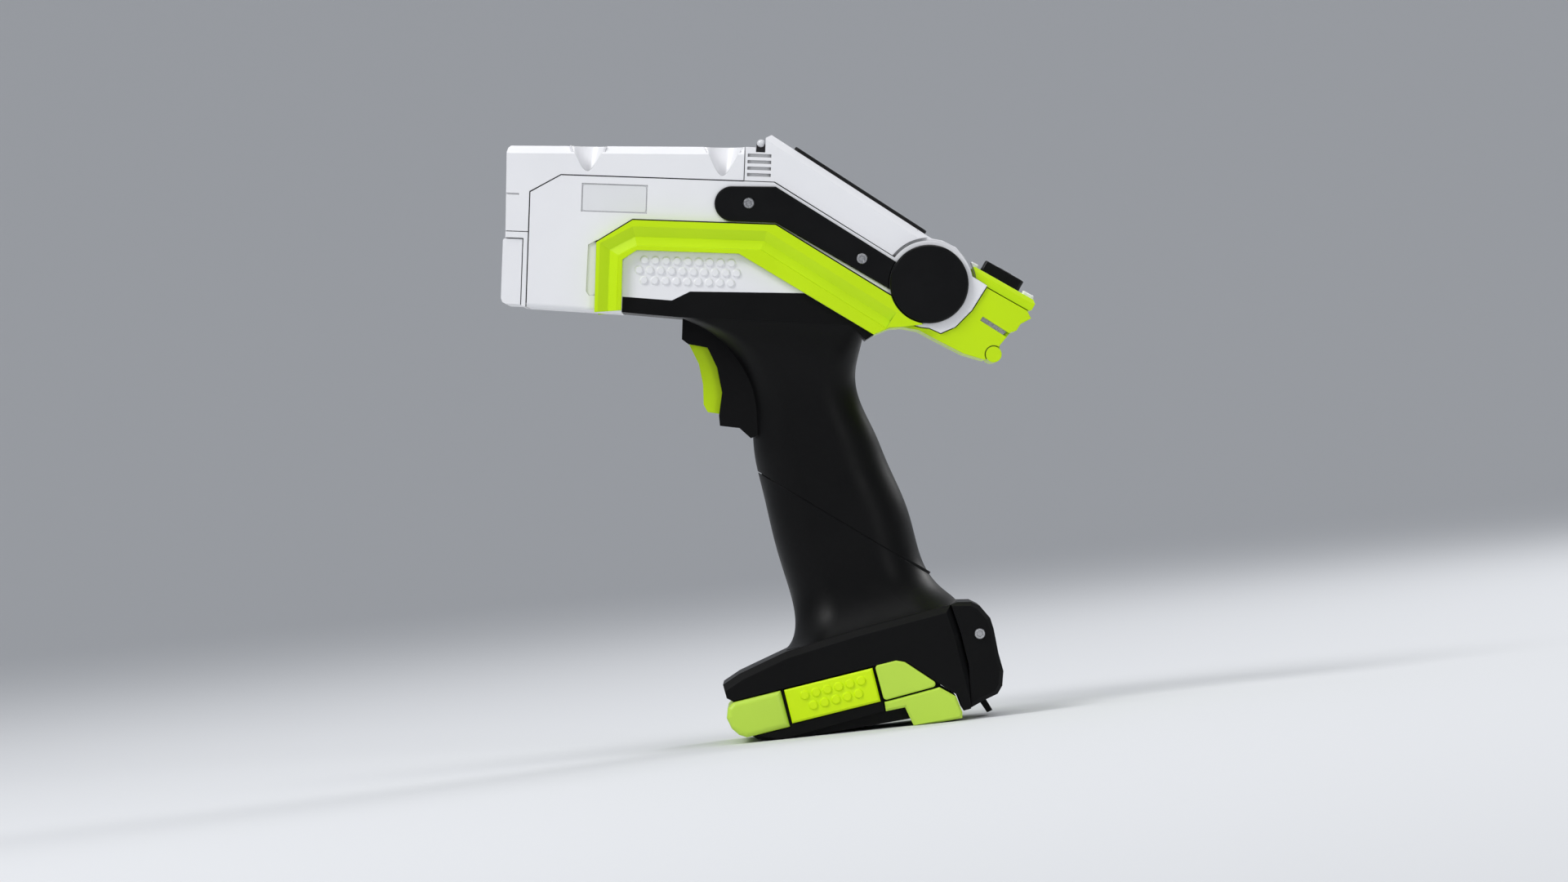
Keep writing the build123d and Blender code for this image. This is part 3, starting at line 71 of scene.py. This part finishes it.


class Nodes:
    """The node tree of one new material, with short ways to add and link nodes."""

    def __init__(self, name, **values):
        self.material = bpy.data.materials.new(name)
        self.material.use_nodes = True
        self.tree = self.material.node_tree
        self.shader = self.tree.nodes["Principled BSDF"]
        for socket, value in values.items():
            self.shader.inputs[socket.replace("_", " ")].default_value = value
        self.place = self.add("ShaderNodeTexCoord").outputs["Object"]

    def add(self, kind, **settings):
        node = self.tree.nodes.new(kind)
        for setting, value in settings.items():
            setattr(node, setting, value)
        return node

    def link(self, output, target):
        self.tree.links.new(output, target)

    def drive(self, socket, output):
        """Lets output set a socket of the shader."""
        self.link(output, self.shader.inputs[socket])

    def noise(self, scale, detail=3.0, rough=0.5, place=None):
        node = self.add("ShaderNodeTexNoise")
        node.inputs["Scale"].default_value = scale
        node.inputs["Detail"].default_value = detail
        node.inputs["Roughness"].default_value = rough
        self.link(self.place if place is None else place, node.inputs["Vector"])
        return node.outputs["Fac"]

    def ramp(self, value, stops):
        """The colour at value on a strip with a (position, colour) pair for each stop."""
        node = self.add("ShaderNodeValToRGB")
        self.link(value, node.inputs["Fac"])
        for element, (position, colour) in zip(node.color_ramp.elements, stops, strict=True):
            element.position = position
            element.color = (*colour, 1.0)
        return node.outputs["Color"]

    def clouded(self, noise, first, last):
        """A colour that goes from first to last with a noise."""
        return self.ramp(noise, [(NOISE_LOW, first), (NOISE_HIGH, last)])

    def span(self, noise, low, high):
        """A number that goes from low to high with a noise."""
        node = self.add("ShaderNodeMapRange")
        self.link(noise, node.inputs["Value"])
        node.inputs["From Min"].default_value = NOISE_LOW
        node.inputs["From Max"].default_value = NOISE_HIGH
        node.inputs["To Min"].default_value = low
        node.inputs["To Max"].default_value = high
        return node.outputs["Result"]

    def shaded(self, tint, reach):
        """The tint, darkened by painted shade where a seam or crease narrower than reach closes
        round it.
        """
        if reach == 0.0:
            return tint
        open_sky = self.add("ShaderNodeAmbientOcclusion", samples=8)
        open_sky.inputs["Distance"].default_value = reach
        shade, full_light = (0.03, 0.03, 0.03), (1.0, 1.0, 1.0)
        depth = self.ramp(open_sky.outputs["AO"], [(0.12, shade), (0.62, full_light)])
        mix = self.add("ShaderNodeMix", data_type="RGBA", blend_type="MULTIPLY")
        mix.inputs["Factor"].default_value = 1.0
        self.link(tint, mix.inputs["A"])
        self.link(depth, mix.inputs["B"])
        return mix.outputs["Result"]

    def relief(self, layers, edge=0.0):
        """Bumps stacked on each other, each (height, strength, depth), over rounded edges."""
        normal = None
        if edge > 0.0:
            bevel = self.add("ShaderNodeBevel", samples=4)
            bevel.inputs["Radius"].default_value = edge
            normal = bevel.outputs["Normal"]
        for height, strength, depth in layers:
            bump = self.add("ShaderNodeBump")
            bump.inputs["Strength"].default_value = strength
            bump.inputs["Distance"].default_value = depth
            self.link(height, bump.inputs["Height"])
            if normal is not None:
                self.link(normal, bump.inputs["Normal"])
            normal = bump.outputs["Normal"]
        self.drive("Normal", normal)


def moulded(name, colour, shift, rough, grain, depth,
            edge=0.00035, coat=0.0, gloss=0.5, painted_shade_reach=0.0):
    """Injection-moulded plastic.

    The colour drifts by the share shift in flow clouds, and the roughness in handling marks.
    grain is the scale and depth the depth of the spark-eroded surface, which lies over broad
    sink marks. Edges look rounded by edge. Narrow seams and creases, up to the width that the last
    argument gives, get painted shade.
    """
    mat = Nodes(name, Coat_Weight=coat, Specular_IOR_Level=gloss)
    clouds = mat.noise(scale=28.0, detail=2.0)
    darker = tuple(channel * (1.0 - shift) for channel in colour)
    lighter = tuple(min(1.0, channel * (1.0 + shift)) for channel in colour)
    # the base colour carries painted shade in narrow seams and creases
    mat.drive("Base Color", mat.shaded(mat.clouded(clouds, darker, lighter), painted_shade_reach))
    wipe = mat.noise(scale=75.0, detail=5.0, rough=0.62)
    mat.drive("Roughness", mat.span(wipe, rough - 0.045, rough + 0.06))
    spark_erosion = mat.noise(grain, detail=4.0, rough=0.6)
    sink_marks = mat.noise(scale=160.0, detail=1.0)
    mat.relief([(spark_erosion, 0.5, depth), (sink_marks, 0.12, 0.0002)], edge)
    return mat.material


def brushed(name, colour, rough, streak=(900.0, 60.0, 60.0), painted_shade_reach=0.0):
    """Metal with fine lines, which are short along the axes that streak scales up."""
    mat = Nodes(name, Metallic=1.0)
    stretch = mat.add("ShaderNodeMapping")
    stretch.inputs["Scale"].default_value = streak
    mat.link(mat.place, stretch.inputs["Vector"])
    lines = mat.noise(scale=4.0, place=stretch.outputs["Vector"])
    darker = tuple(channel * 0.82 for channel in colour)
    # the base colour carries painted shade in narrow hollows such as screw sockets
    mat.drive("Base Color", mat.shaded(mat.clouded(lines, darker, colour), painted_shade_reach))
    mat.drive("Roughness", mat.span(lines, rough - 0.07, rough + 0.08))
    mat.relief([(lines, 0.2, 0.00004)], edge=0.00012)
    return mat.material


def board(name):
    """Green circuit board with a pattern of tracks."""
    mat = Nodes(name, Roughness=0.42, Coat_Weight=0.4)
    tracks = mat.add("ShaderNodeTexBrick")
    tracks.inputs["Scale"].default_value = 180.0
    tracks.inputs["Color1"].default_value = (0.012, 0.11, 0.035, 1.0)
    tracks.inputs["Color2"].default_value = (0.010, 0.085, 0.03, 1.0)
    tracks.inputs["Mortar"].default_value = (0.03, 0.2, 0.07, 1.0)
    tracks.inputs["Mortar Size"].default_value = 0.012
    mat.link(mat.place, tracks.inputs["Vector"])
    mat.drive("Base Color", tracks.outputs["Color"])
    mat.relief([(tracks.outputs["Fac"], 0.3, 0.00005)])
    return mat.material


def glass_cover(name, deep, bright):
    """Dark cover glass over a display that is off, with faint smears in the gloss."""
    mat = Nodes(name, Coat_Weight=0.5, Coat_Roughness=0.03, Specular_IOR_Level=0.4)
    depth = mat.noise(scale=9.0, detail=1.0)
    mat.drive("Base Color", mat.ramp(depth, [(0.35, deep), (0.65, bright)]))
    smears = mat.noise(scale=55.0, detail=6.0, rough=0.65)
    mat.drive("Roughness", mat.span(smears, 0.05, 0.16))
    mat.relief([(mat.noise(scale=20.0, detail=1.0), 0.03, 0.0001)], edge=0.0002)
    return mat.material


def gold_film(name):
    """Crinkled polymer film of the measuring window."""
    mat = Nodes(name, Metallic=0.35, Coat_Weight=0.6)
    blotches = mat.noise(scale=400.0, detail=2.0)
    mat.drive("Base Color", mat.clouded(blotches, (0.42, 0.22, 0.04), (0.6, 0.34, 0.08)))
    mat.drive("Roughness", mat.span(mat.noise(scale=600.0, detail=2.0), 0.18, 0.32))
    mat.relief([(mat.noise(scale=500.0, detail=2.0), 0.3, 0.0001)])
    return mat.material


# the shells' last entry is the reach of the painted shade in their seams
SLOT_PLASTICS = {
    "white_shell": dict(colour=(0.83, 0.83, 0.85), shift=0.015, rough=0.32, grain=3800.0,
                        depth=0.00003, coat=0.15, painted_shade_reach=SEAM_REACH),
    "lime_shell": dict(colour=(0.54, 0.79, 0.0), shift=0.03, rough=0.36, grain=3000.0,
                       depth=0.00004, gloss=0.3, painted_shade_reach=SEAM_REACH),
    "pale_lime": dict(colour=(0.51, 0.74, 0.07), shift=0.03, rough=0.36, grain=3000.0,
                      depth=0.00004, gloss=0.35, painted_shade_reach=SEAM_REACH),
    "bright_lime": dict(colour=(0.64, 0.90, 0.0), shift=0.03, rough=0.38, grain=2600.0,
                        depth=0.00005, gloss=0.3, painted_shade_reach=SEAM_REACH),
    "black_grip": dict(colour=(0.0022, 0.0022, 0.0024), shift=0.12, rough=0.42, grain=2300.0,
                       depth=0.00006, gloss=0.13),
    "black_gloss": dict(colour=(0.002, 0.002, 0.0022), shift=0.1, rough=0.2, grain=5200.0,
                        depth=0.00001, gloss=0.25),
    "black_rubber": dict(colour=(0.006, 0.006, 0.0065), shift=0.12, rough=0.62, grain=1900.0,
                         depth=0.00008, gloss=0.2),
    "lens_plastic": dict(colour=(0.012, 0.009, 0.01), shift=0.1, rough=0.12, grain=5000.0,
                         depth=0.00001, coat=0.8),
}
TRIM_PLASTICS = {
    "white_ink": dict(colour=(0.72, 0.72, 0.73), shift=0.02, rough=0.42, grain=6000.0,
                      depth=0.00001, edge=0.0, gloss=0.3),
    "red_ink": dict(colour=(0.62, 0.02, 0.015), shift=0.04, rough=0.40, grain=6000.0,
                    depth=0.00001, edge=0.0, gloss=0.3),
    "grey_ink": dict(colour=(0.06, 0.065, 0.07), shift=0.04, rough=0.42, grain=6000.0,
                     depth=0.00001, edge=0.0, gloss=0.3),
    "label_satin": dict(colour=(0.74, 0.745, 0.76), shift=0.02, rough=0.50, grain=7000.0,
                        depth=0.00002, edge=0.0001),
    # black for real trim such as the bezel and port tongues, and for painted shade in seams and
    # along the bumper
    "black_trim_and_shade": dict(colour=(0.006, 0.006, 0.0065), shift=0.1, rough=0.55, grain=4000.0,
                       depth=0.00002, edge=0.0001, gloss=0.2),
    "frosted_lens": dict(colour=(0.66, 0.67, 0.69), shift=0.02, rough=0.20, grain=4000.0,
                         depth=0.00001, edge=0.0002, coat=0.6),
}

SLOT_MATERIALS = {slot: moulded(slot, **values) for slot, values in SLOT_PLASTICS.items()}
SLOT_MATERIALS.update({
    "screen_glass": glass_cover("screen_glass", (0.003, 0.003, 0.0035), (0.005, 0.005, 0.006)),
    "steel": brushed("steel", (0.60, 0.60, 0.61), 0.27, (300.0, 2400.0, 300.0), STEEL_REACH),
    "aluminium": brushed("aluminium", (0.72, 0.73, 0.75), 0.36),
    "brass": brushed("brass", (0.78, 0.58, 0.26), 0.3),
    "circuit": board("circuit"),
    "film": gold_film("film"),
})

TRIM_MATERIALS = {name: moulded(name, **values) for name, values in TRIM_PLASTICS.items()}
TRIM_MATERIALS["screen_off"] = glass_cover("screen_off", (0.010, 0.013, 0.019),
                                           (0.017, 0.022, 0.031))

for row in frame["record"]["subparts"]:
    mesh = NODES[row["node"]].data
    mesh.materials.clear()
    mesh.materials.append(SLOT_MATERIALS[row["material_slot"]])


# ---------------------------------------------------------------- small pieces on the solids
# From here on lengths are in millimetres, and only points and steps in space are in metres.
MILLIMETRES = 1000.0                         # in a metre
HINGE = Vector((0.06244, 0.0, 0.1693))       # the middle of the display's hinge axis
STAND_TILT = 8.0             # degrees by which the head rises towards the nose
BASE_TILT = 8.0              # degrees by which the battery base rises towards the rear
PANEL_SLOPE = 30.9           # degrees from the head's length to the display's face
KEYPAD_SLOPE = 27.5          # degrees from the head's length to the keypad's face
KEYPAD_MIDDLE = (28.2, 1.87)                 # behind and above the hinge
HEAD_HALF = 31.0             # from the middle plane to the white housings' faces
GLASS_HEIGHT = 16.2          # the display glass's face above the hinge axis
BEZEL_HEIGHT = 15.35         # the bezel's foot, just below the display frame's face
NAV_PAD_HEIGHT, NAV_CENTRE_HEIGHT = 4.9, 5.2         # key tops above the keypad's face
FRONT_KEY_HEIGHT, REAR_KEY_HEIGHT = 1.7, 1.8
MARK = 0.05                  # thickness of the white marks and the screen window
THICK_MARK = 0.06            # thickness of the marks on the front and rear keys


def level(u, v, out):
    """The point that lies u behind and v above the hinge along the head, and out to the left."""
    lean = math.radians(STAND_TILT)
    offset = Vector((u * math.cos(lean) + v * math.sin(lean), -out,
                     v * math.cos(lean) - u * math.sin(lean)))
    return HINGE + offset / MILLIMETRES


def left_side(out):
    return lambda a, b, h: level(a, b, out + h)


def right_side(out):
    return lambda a, b, h: level(a, b, -out - h)


def display_face(a, b, h):
    """a up the slope from the hinge, b across, h above the hinge axis."""
    slope = math.radians(PANEL_SLOPE)
    return level(h * math.sin(slope) - a * math.cos(slope),
                 h * math.cos(slope) + a * math.sin(slope), b)


def keypad_face(a, b, h):
    """a down the slope from the keypad's middle, b across, h above its face."""
    slope = math.radians(KEYPAD_SLOPE)
    return level(KEYPAD_MIDDLE[0] + a * math.cos(slope) + h * math.sin(slope),
                 KEYPAD_MIDDLE[1] - a * math.sin(slope) + h * math.cos(slope), b)


def raised(base, height):
    """The same face as base, with heights counted from height."""
    return lambda a, b, h: base(a, b, h + height)


def rounded(middle, length, width, radius, steps=6):
    """Outline of a rectangle with rounded corners."""
    points = []
    for turn, (x, y) in enumerate(((1, 1), (-1, 1), (-1, -1), (1, -1))):
        for i in range(steps + 1):
            angle = math.radians(90.0 * (turn + i / steps))
            points.append((middle[0] + x * (length / 2 - radius) + radius * math.cos(angle),
                           middle[1] + y * (width / 2 - radius) + radius * math.sin(angle)))
    return points


def triangle(middle, size, heading, nick=8.0):
    """Outline of an arrowhead with blunt corners that points along heading, in degrees."""
    points = []
    for corner in range(3):
        for side in (-nick, nick):
            angle = math.radians(heading + 120.0 * corner + side)
            points.append((middle[0] + size * math.cos(angle), middle[1] + size * math.sin(angle)))
    return points


def beside(path, width):
    """Outline of a band of one width along the left of a path."""
    far = []
    for i, point in enumerate(path):
        before, after = path[max(i - 1, 0)], path[min(i + 1, len(path) - 1)]
        turns = []
        for start, end in ((before, point), (point, after)):
            step = Vector((end[0] - start[0], end[1] - start[1]))
            if step.length > 0.0:
                turns.append(Vector((-step.y, step.x)).normalized())
        normal = sum(turns, Vector((0.0, 0.0))).normalized()
        far.append(tuple(Vector(point) + normal * (width / normal.dot(turns[0]))))
    return path + far[::-1]


def round_steps(steps):
    """Cosine and sine at equal steps of one turn."""
    angles = [2 * math.pi * i / steps for i in range(steps)]
    return [(math.cos(angle), math.sin(angle)) for angle in angles]


def bands(shape, loops):
    """Four-sided faces between each loop of vertices and the next."""
    for here, there in zip(loops, loops[1:]):
        for i in range(len(here)):
            j = (i + 1) % len(here)
            shape.faces.new((here[i], here[j], there[j], there[i]))


def finished(shape, name, material, body):
    """Puts a shape in the scene as a piece that rides on a body."""
    bmesh.ops.recalc_face_normals(shape, faces=shape.faces)
    mesh = bpy.data.meshes.new(name)
    shape.to_mesh(mesh)
    shape.free()
    piece = bpy.data.objects.new(name, mesh)
    bpy.context.scene.collection.objects.link(piece)
    mesh.materials.append(material)
    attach(piece, body)


def inlay(name, outlines, face, thick, material, body, crown=0.02):
    """Thin raised plates on a face, each with its top edge broken by crown."""
    shape = bmesh.new()
    for points in outlines:
        base = shape.faces.new([shape.verts.new(face(a, b, 0.0)) for a, b in points])
        top = bmesh.ops.extrude_face_region(shape, geom=[base])["geom"]
        lift = face(*points[0], thick) - face(*points[0], 0.0)
        corners = [part for part in top if isinstance(part, bmesh.types.BMVert)]
        bmesh.ops.translate(shape, vec=lift, verts=corners)
        cap = [part for part in top if isinstance(part, bmesh.types.BMFace)][0]
        bmesh.ops.bevel(shape, geom=list(cap.edges), offset=crown / MILLIMETRES, segments=2,
                        affect="EDGES")
    finished(shape, name, material, body)


def ring(name, middle, outer, inner, face, thick, material, body, steps=32):
    """Raised ring on a face."""
    shoulder, slant = thick * 0.8, thick * 0.3
    section = ((inner, 0.0), (inner, shoulder), (inner + slant, thick),
               (outer - slant, thick), (outer, shoulder), (outer, 0.0))
    shape = bmesh.new()
    loops = [[shape.verts.new(face(middle[0] + radius * x, middle[1] + radius * y, height))
              for x, y in round_steps(steps)] for radius, height in section]
    bands(shape, loops + loops[:1])
    finished(shape, name, material, body)


def hoop(name, middle, size, rim, face, material, body):
    """Rounded rectangular hoop: size is its length, width and corner radius.

    rim gives its section, as steps of growth from that size and heights above the face.
    """
    length, width, radius = size
    shape = bmesh.new()
    loops = []
    for grow, height in rim:
        points = rounded(middle, length + 2 * grow, width + 2 * grow, radius + grow)
        loops.append([shape.verts.new(face(a, b, height)) for a, b in points])
    bands(shape, loops + loops[:1])
    finished(shape, name, material, body)


def round_bar(name, start, end, radius, material, body, steps=12, dome=5):
    """Straight round bar with domed ends, between two points in space, radius in metres."""
    along = (end - start).normalized()
    up = along.orthogonal().normalized()
    across = along.cross(up)
    angles = [math.radians(90.0 * i / dome) for i in range(dome + 1)]
    stations = [(start - along * radius * math.cos(angle), radius * math.sin(angle))
                for angle in angles[1:]]
    stations += [(end + along * radius * math.sin(angle), radius * math.cos(angle))
                 for angle in angles[:-1]]
    shape = bmesh.new()
    loops = [[shape.verts.new(centre + reach * (up * x + across * y))
              for x, y in round_steps(steps)] for centre, reach in stations]
    bands(shape, loops)
    shape.faces.new(loops[0])
    shape.faces.new(loops[-1][::-1])
    for flank in shape.faces:
        flank.smooth = True
    finished(shape, name, material, body)


def side_trim():
    """On both sides: the bare label plate, a black line of painted shadow along the bumper's upper
    edge, and a black strip in the case seam that is partly seal and partly painted shade.
    """
    label = rounded((-122.9, 28.9), 24.6, 10.2, 0.9)
    bumper = [(-129.4, 11.6), (-115.5, 20.8), (-60.2, 20.8), (-12.0, -6.5)]
    case = [(-155.42, -12.6), (-155.42, 30.25), (-143.77, 37.12), (-73.3, 37.12)]
    label_depth, case_depth = 0.5, 0.35      # in from the white housings' faces
    black = TRIM_MATERIALS["black_trim_and_shade"]
    for side, face in (("left", left_side), ("right", right_side)):
        inlay("label_plate_" + side, [label], face(HEAD_HALF - label_depth), 0.25,
              TRIM_MATERIALS["label_satin"], "analyzer", crown=0.08)
        # black line of painted shadow where the bumper's upper edge meets the housing
        inlay("bumper_shadow_line_" + side, [beside(bumper, 0.45)], face(HEAD_HALF), 0.14,
              black, "analyzer", crown=0.04)
        # black strip in the case seam, partly seal and partly painted shade that makes the seam
        # line dark
        inlay("case_seal_and_shade_" + side, [beside(case, 0.5)], face(HEAD_HALF - case_depth), 0.38,
              black, "analyzer", crown=0.05)


def screen_window():
    """The dark picture area of the display, under its cover glass's black border."""
    inlay("screen_window", [rounded((42.6, 0.0), 49.0, 46.0, 1.2)],
          raised(display_face, GLASS_HEIGHT), MARK, TRIM_MATERIALS["screen_off"],
          "display")


def key_marks():
    """Plain arrows, rings and bars on the keys, which ride with them."""
    white, red = TRIM_MATERIALS["white_ink"], TRIM_MATERIALS["red_ink"]
    nav, arrow_ring = (-0.9, 0.0), 6.3
    arrows = []
    for heading in (0, 90, 180, 270):
        angle = math.radians(heading)
        spot = (nav[0] + arrow_ring * math.cos(angle), arrow_ring * math.sin(angle))
        arrows.append(triangle(spot, 1.15, heading))
    inlay("nav_arrows", arrows, raised(keypad_face, NAV_PAD_HEIGHT), MARK, white,
          "nav_pad")
    ring("nav_centre_mark", nav, 1.5, 1.15, raised(keypad_face, NAV_CENTRE_HEIGHT), MARK, white,
         "nav_centre_key")

    front, bar_spacing = -12.4, 6.6
    front_face = raised(keypad_face, FRONT_KEY_HEIGHT)
    ring("front_key_mark", (front, 0.0), 1.25, 0.75, front_face, THICK_MARK, red,
         "front_key")
    bars = [rounded((front, side * bar_spacing), 1.9, 3.6, 0.5) for side in (-1, 1)]
    inlay("front_key_bars", bars, front_face, THICK_MARK, red, "front_key")

    rear, spacing = 11.4, 6.4
    marks = [triangle((rear, -spacing), 1.5, 90), rounded((rear, spacing), 2.2, 2.2, 0.4),
             rounded((rear, 0.0), 0.7, 4.4, 0.3)]
    inlay("rear_key_marks", marks, raised(keypad_face, REAR_KEY_HEIGHT), THICK_MARK,
          TRIM_MATERIALS["grey_ink"], "rear_key")


def light_bar_lens():
    """The frosted rod that shows in the light bar across the display's upper end."""
    behind, above, half_length, radius = -67.0, 52.3, 27.6, 1.55
    round_bar("light_bar_lens", level(behind, above, half_length),
              level(behind, above, -half_length), radius / MILLIMETRES,
              TRIM_MATERIALS["frosted_lens"], "display")


def port_shells():
    """The metal shells and tongues of the two sockets behind the tail door."""
    lower, upper = Vector((19.2, -16.5)), Vector((27.8, -7.5))       # the bay's open rear side
    middle, rise = (lower + upper) / 2.0, (upper - lower).normalized()
    out = Vector((rise.y, -rise.x))
    spacing, depth = 10.5, 2.9
    rim = ((0.0, -depth), (0.0, -0.25), (-0.25, -0.1), (-0.5, -0.25), (-0.5, -depth))

    def bay_face(a, b, h):
        spot = middle + rise * a + out * h
        return level(spot.x, spot.y, b)

    for side, name in ((1.0, "left"), (-1.0, "right")):
        hoop("port_shell_" + name, (0.0, side * spacing), (4.7, 11.7, 0.7), rim, bay_face,
             SLOT_MATERIALS["steel"], "analyzer")
        inlay("port_tongue_" + name, [rounded((0.5, side * spacing), 1.3, 8.6, 0.3)],
              raised(bay_face, -2.95), 2.3, TRIM_MATERIALS["black_trim_and_shade"],
              "analyzer", crown=0.15)


def grip_seam_shade():
    """The black lip in the slanted seam of the grip, a little inside the lower grip's section,
    which fills the gap with painted shade.
    """
    lean = math.radians(BASE_TILT)
    seam_ends = ((-82.0, -54.5), (-27.4, -108.7))        # behind and above the hinge, by the base
    front, rear = (HINGE + Vector((u * math.cos(lean) - v * math.sin(lean), 0.0,
                                   u * math.sin(lean) + v * math.cos(lean))) / MILLIMETRES
                   for u, v in seam_ends)
    along, across = (rear - front).normalized(), Vector((0.0, 1.0, 0.0))
    down = along.cross(across)
    if down.z > 0.0:
        down.negate()
    below_seam, half_height = 0.0006, 0.0009
    outer_share, inner_share = 0.97, 0.93    # of the section's own size

    section = bmesh.new()
    section.from_mesh(NODES["lower_grip"].data)
    everything = section.verts[:] + section.edges[:] + section.faces[:]
    cut = bmesh.ops.bisect_plane(section, geom=everything, plane_co=front + down * below_seam,
                                 plane_no=down)["geom_cut"]
    flat = [((part.co - front).dot(along), part.co.y) for part in cut
            if isinstance(part, bmesh.types.BMVert)]
    section.free()
    outer = [Vector(flat[i]) for i in convex_hull_2d(flat)]
    middle = sum(outer, Vector((0.0, 0.0))) / len(outer)

    shape = bmesh.new()
    loops = []
    for share, drop in ((outer_share, -half_height), (outer_share, half_height),
                        (inner_share, half_height), (inner_share, -half_height)):
        spots = [middle + (point - middle) * share for point in outer]
        loops.append([shape.verts.new(front + along * spot.x + across * spot.y + down * drop)
                      for spot in spots])
    bands(shape, loops + loops[:1])
    finished(shape, "grip_seam_shade", TRIM_MATERIALS["black_trim_and_shade"], "analyzer")


def screen_bezel():
    """The soft black bezel that stands up round the display glass."""
    rim = ((0.0, 0.0), (0.0, 1.1), (-0.3, 1.45), (-1.0, 1.45), (-1.3, 1.1), (-1.3, 0.0))
    hoop("screen_bezel", (42.1, 0.0), (60.4, 55.8, 2.0), rim, raised(display_face, BEZEL_HEIGHT),
         TRIM_MATERIALS["black_trim_and_shade"], "display")


side_trim()
screen_window()
key_marks()
light_bar_lens()
port_shells()
grip_seam_shade()
screen_bezel()


# ---------------------------------------------------------------- studio
# Lengths are in metres again.
FLAT_RADIUS = 3.8            # the floor is flat out to here, beyond the camera
INNER_RADIUS = 1.2
CURVE_RADIUS, CLIMB = 3.4, 62.0              # beyond it, it curves up by this many degrees
CURVE_STEPS, ROUND_STEPS = 30, 96
WORLD_TINT, WORLD_STRENGTH = (0.82, 0.85, 0.9, 1.0), 0.46
LIGHTS = (                   # name, place, target, width, height, watts
    ("top_light", (0.1, -0.3, 1.9), (0.0, 0.0, 0.1), 1.5, 1.0, 9.5),
    ("key_light", (-1.5, -1.3, 1.9), (0.0, 0.0, 0.12), 0.9, 0.9, 33.0),
    ("rear_light", (1.4, 1.3, 1.1), (0.0, 0.0, 0.12), 0.7, 1.0, 16.0),
    ("side_light", (1.3, -2.2, 0.7), (0.0, 0.0, 0.1), 0.5, 1.2, 7.0),
)


def studio_floor():
    """A round pale floor that curves up beyond the camera on every side."""
    profile = [(INNER_RADIUS, 0.0), (FLAT_RADIUS, 0.0)]
    for i in range(1, CURVE_STEPS + 1):
        rise = math.radians(CLIMB * i / CURVE_STEPS)
        profile.append((FLAT_RADIUS + CURVE_RADIUS * math.sin(rise),
                        CURVE_RADIUS * (1.0 - math.cos(rise))))
    shape = bmesh.new()
    centre = shape.verts.new((0.0, 0.0, 0.0))
    rings = [[shape.verts.new((radius * x, radius * y, height))
              for x, y in round_steps(ROUND_STEPS)] for radius, height in profile]
    for i in range(ROUND_STEPS):
        j = (i + 1) % ROUND_STEPS
        shape.faces.new((centre, rings[0][i], rings[0][j]))
        for here, there in zip(rings, rings[1:]):
            shape.faces.new((here[i], there[i], there[j], here[j]))
    bmesh.ops.recalc_face_normals(shape, faces=shape.faces)
    mesh = bpy.data.meshes.new("studio_sweep")
    shape.to_mesh(mesh)
    shape.free()
    for face in mesh.polygons:
        face.use_smooth = True
    sweep = bpy.data.objects.new("studio_sweep", mesh)
    bpy.context.scene.collection.objects.link(sweep)
    paint = Nodes("studio_paint", Roughness=0.7, Base_Color=(0.74, 0.75, 0.77, 1.0))
    mesh.materials.append(paint.material)


def studio_lights():
    """Broad soft lights, and a pale sky all round."""
    for name, place, target, width, height, watts in LIGHTS:
        data = bpy.data.lights.new(name, "AREA")
        data.shape = "RECTANGLE"
        data.size = width
        data.size_y = height
        data.energy = watts
        light = bpy.data.objects.new(name, data)
        light.location = place
        aim = Vector(target) - Vector(place)
        light.rotation_euler = aim.to_track_quat("-Z", "Y").to_euler()
        bpy.context.scene.collection.objects.link(light)

    world = bpy.data.worlds.new("studio_world")
    bpy.context.scene.world = world
    world.use_nodes = True
    backdrop = world.node_tree.nodes["Background"]
    backdrop.inputs["Color"].default_value = WORLD_TINT
    backdrop.inputs["Strength"].default_value = WORLD_STRENGTH


studio_floor()
studio_lights()
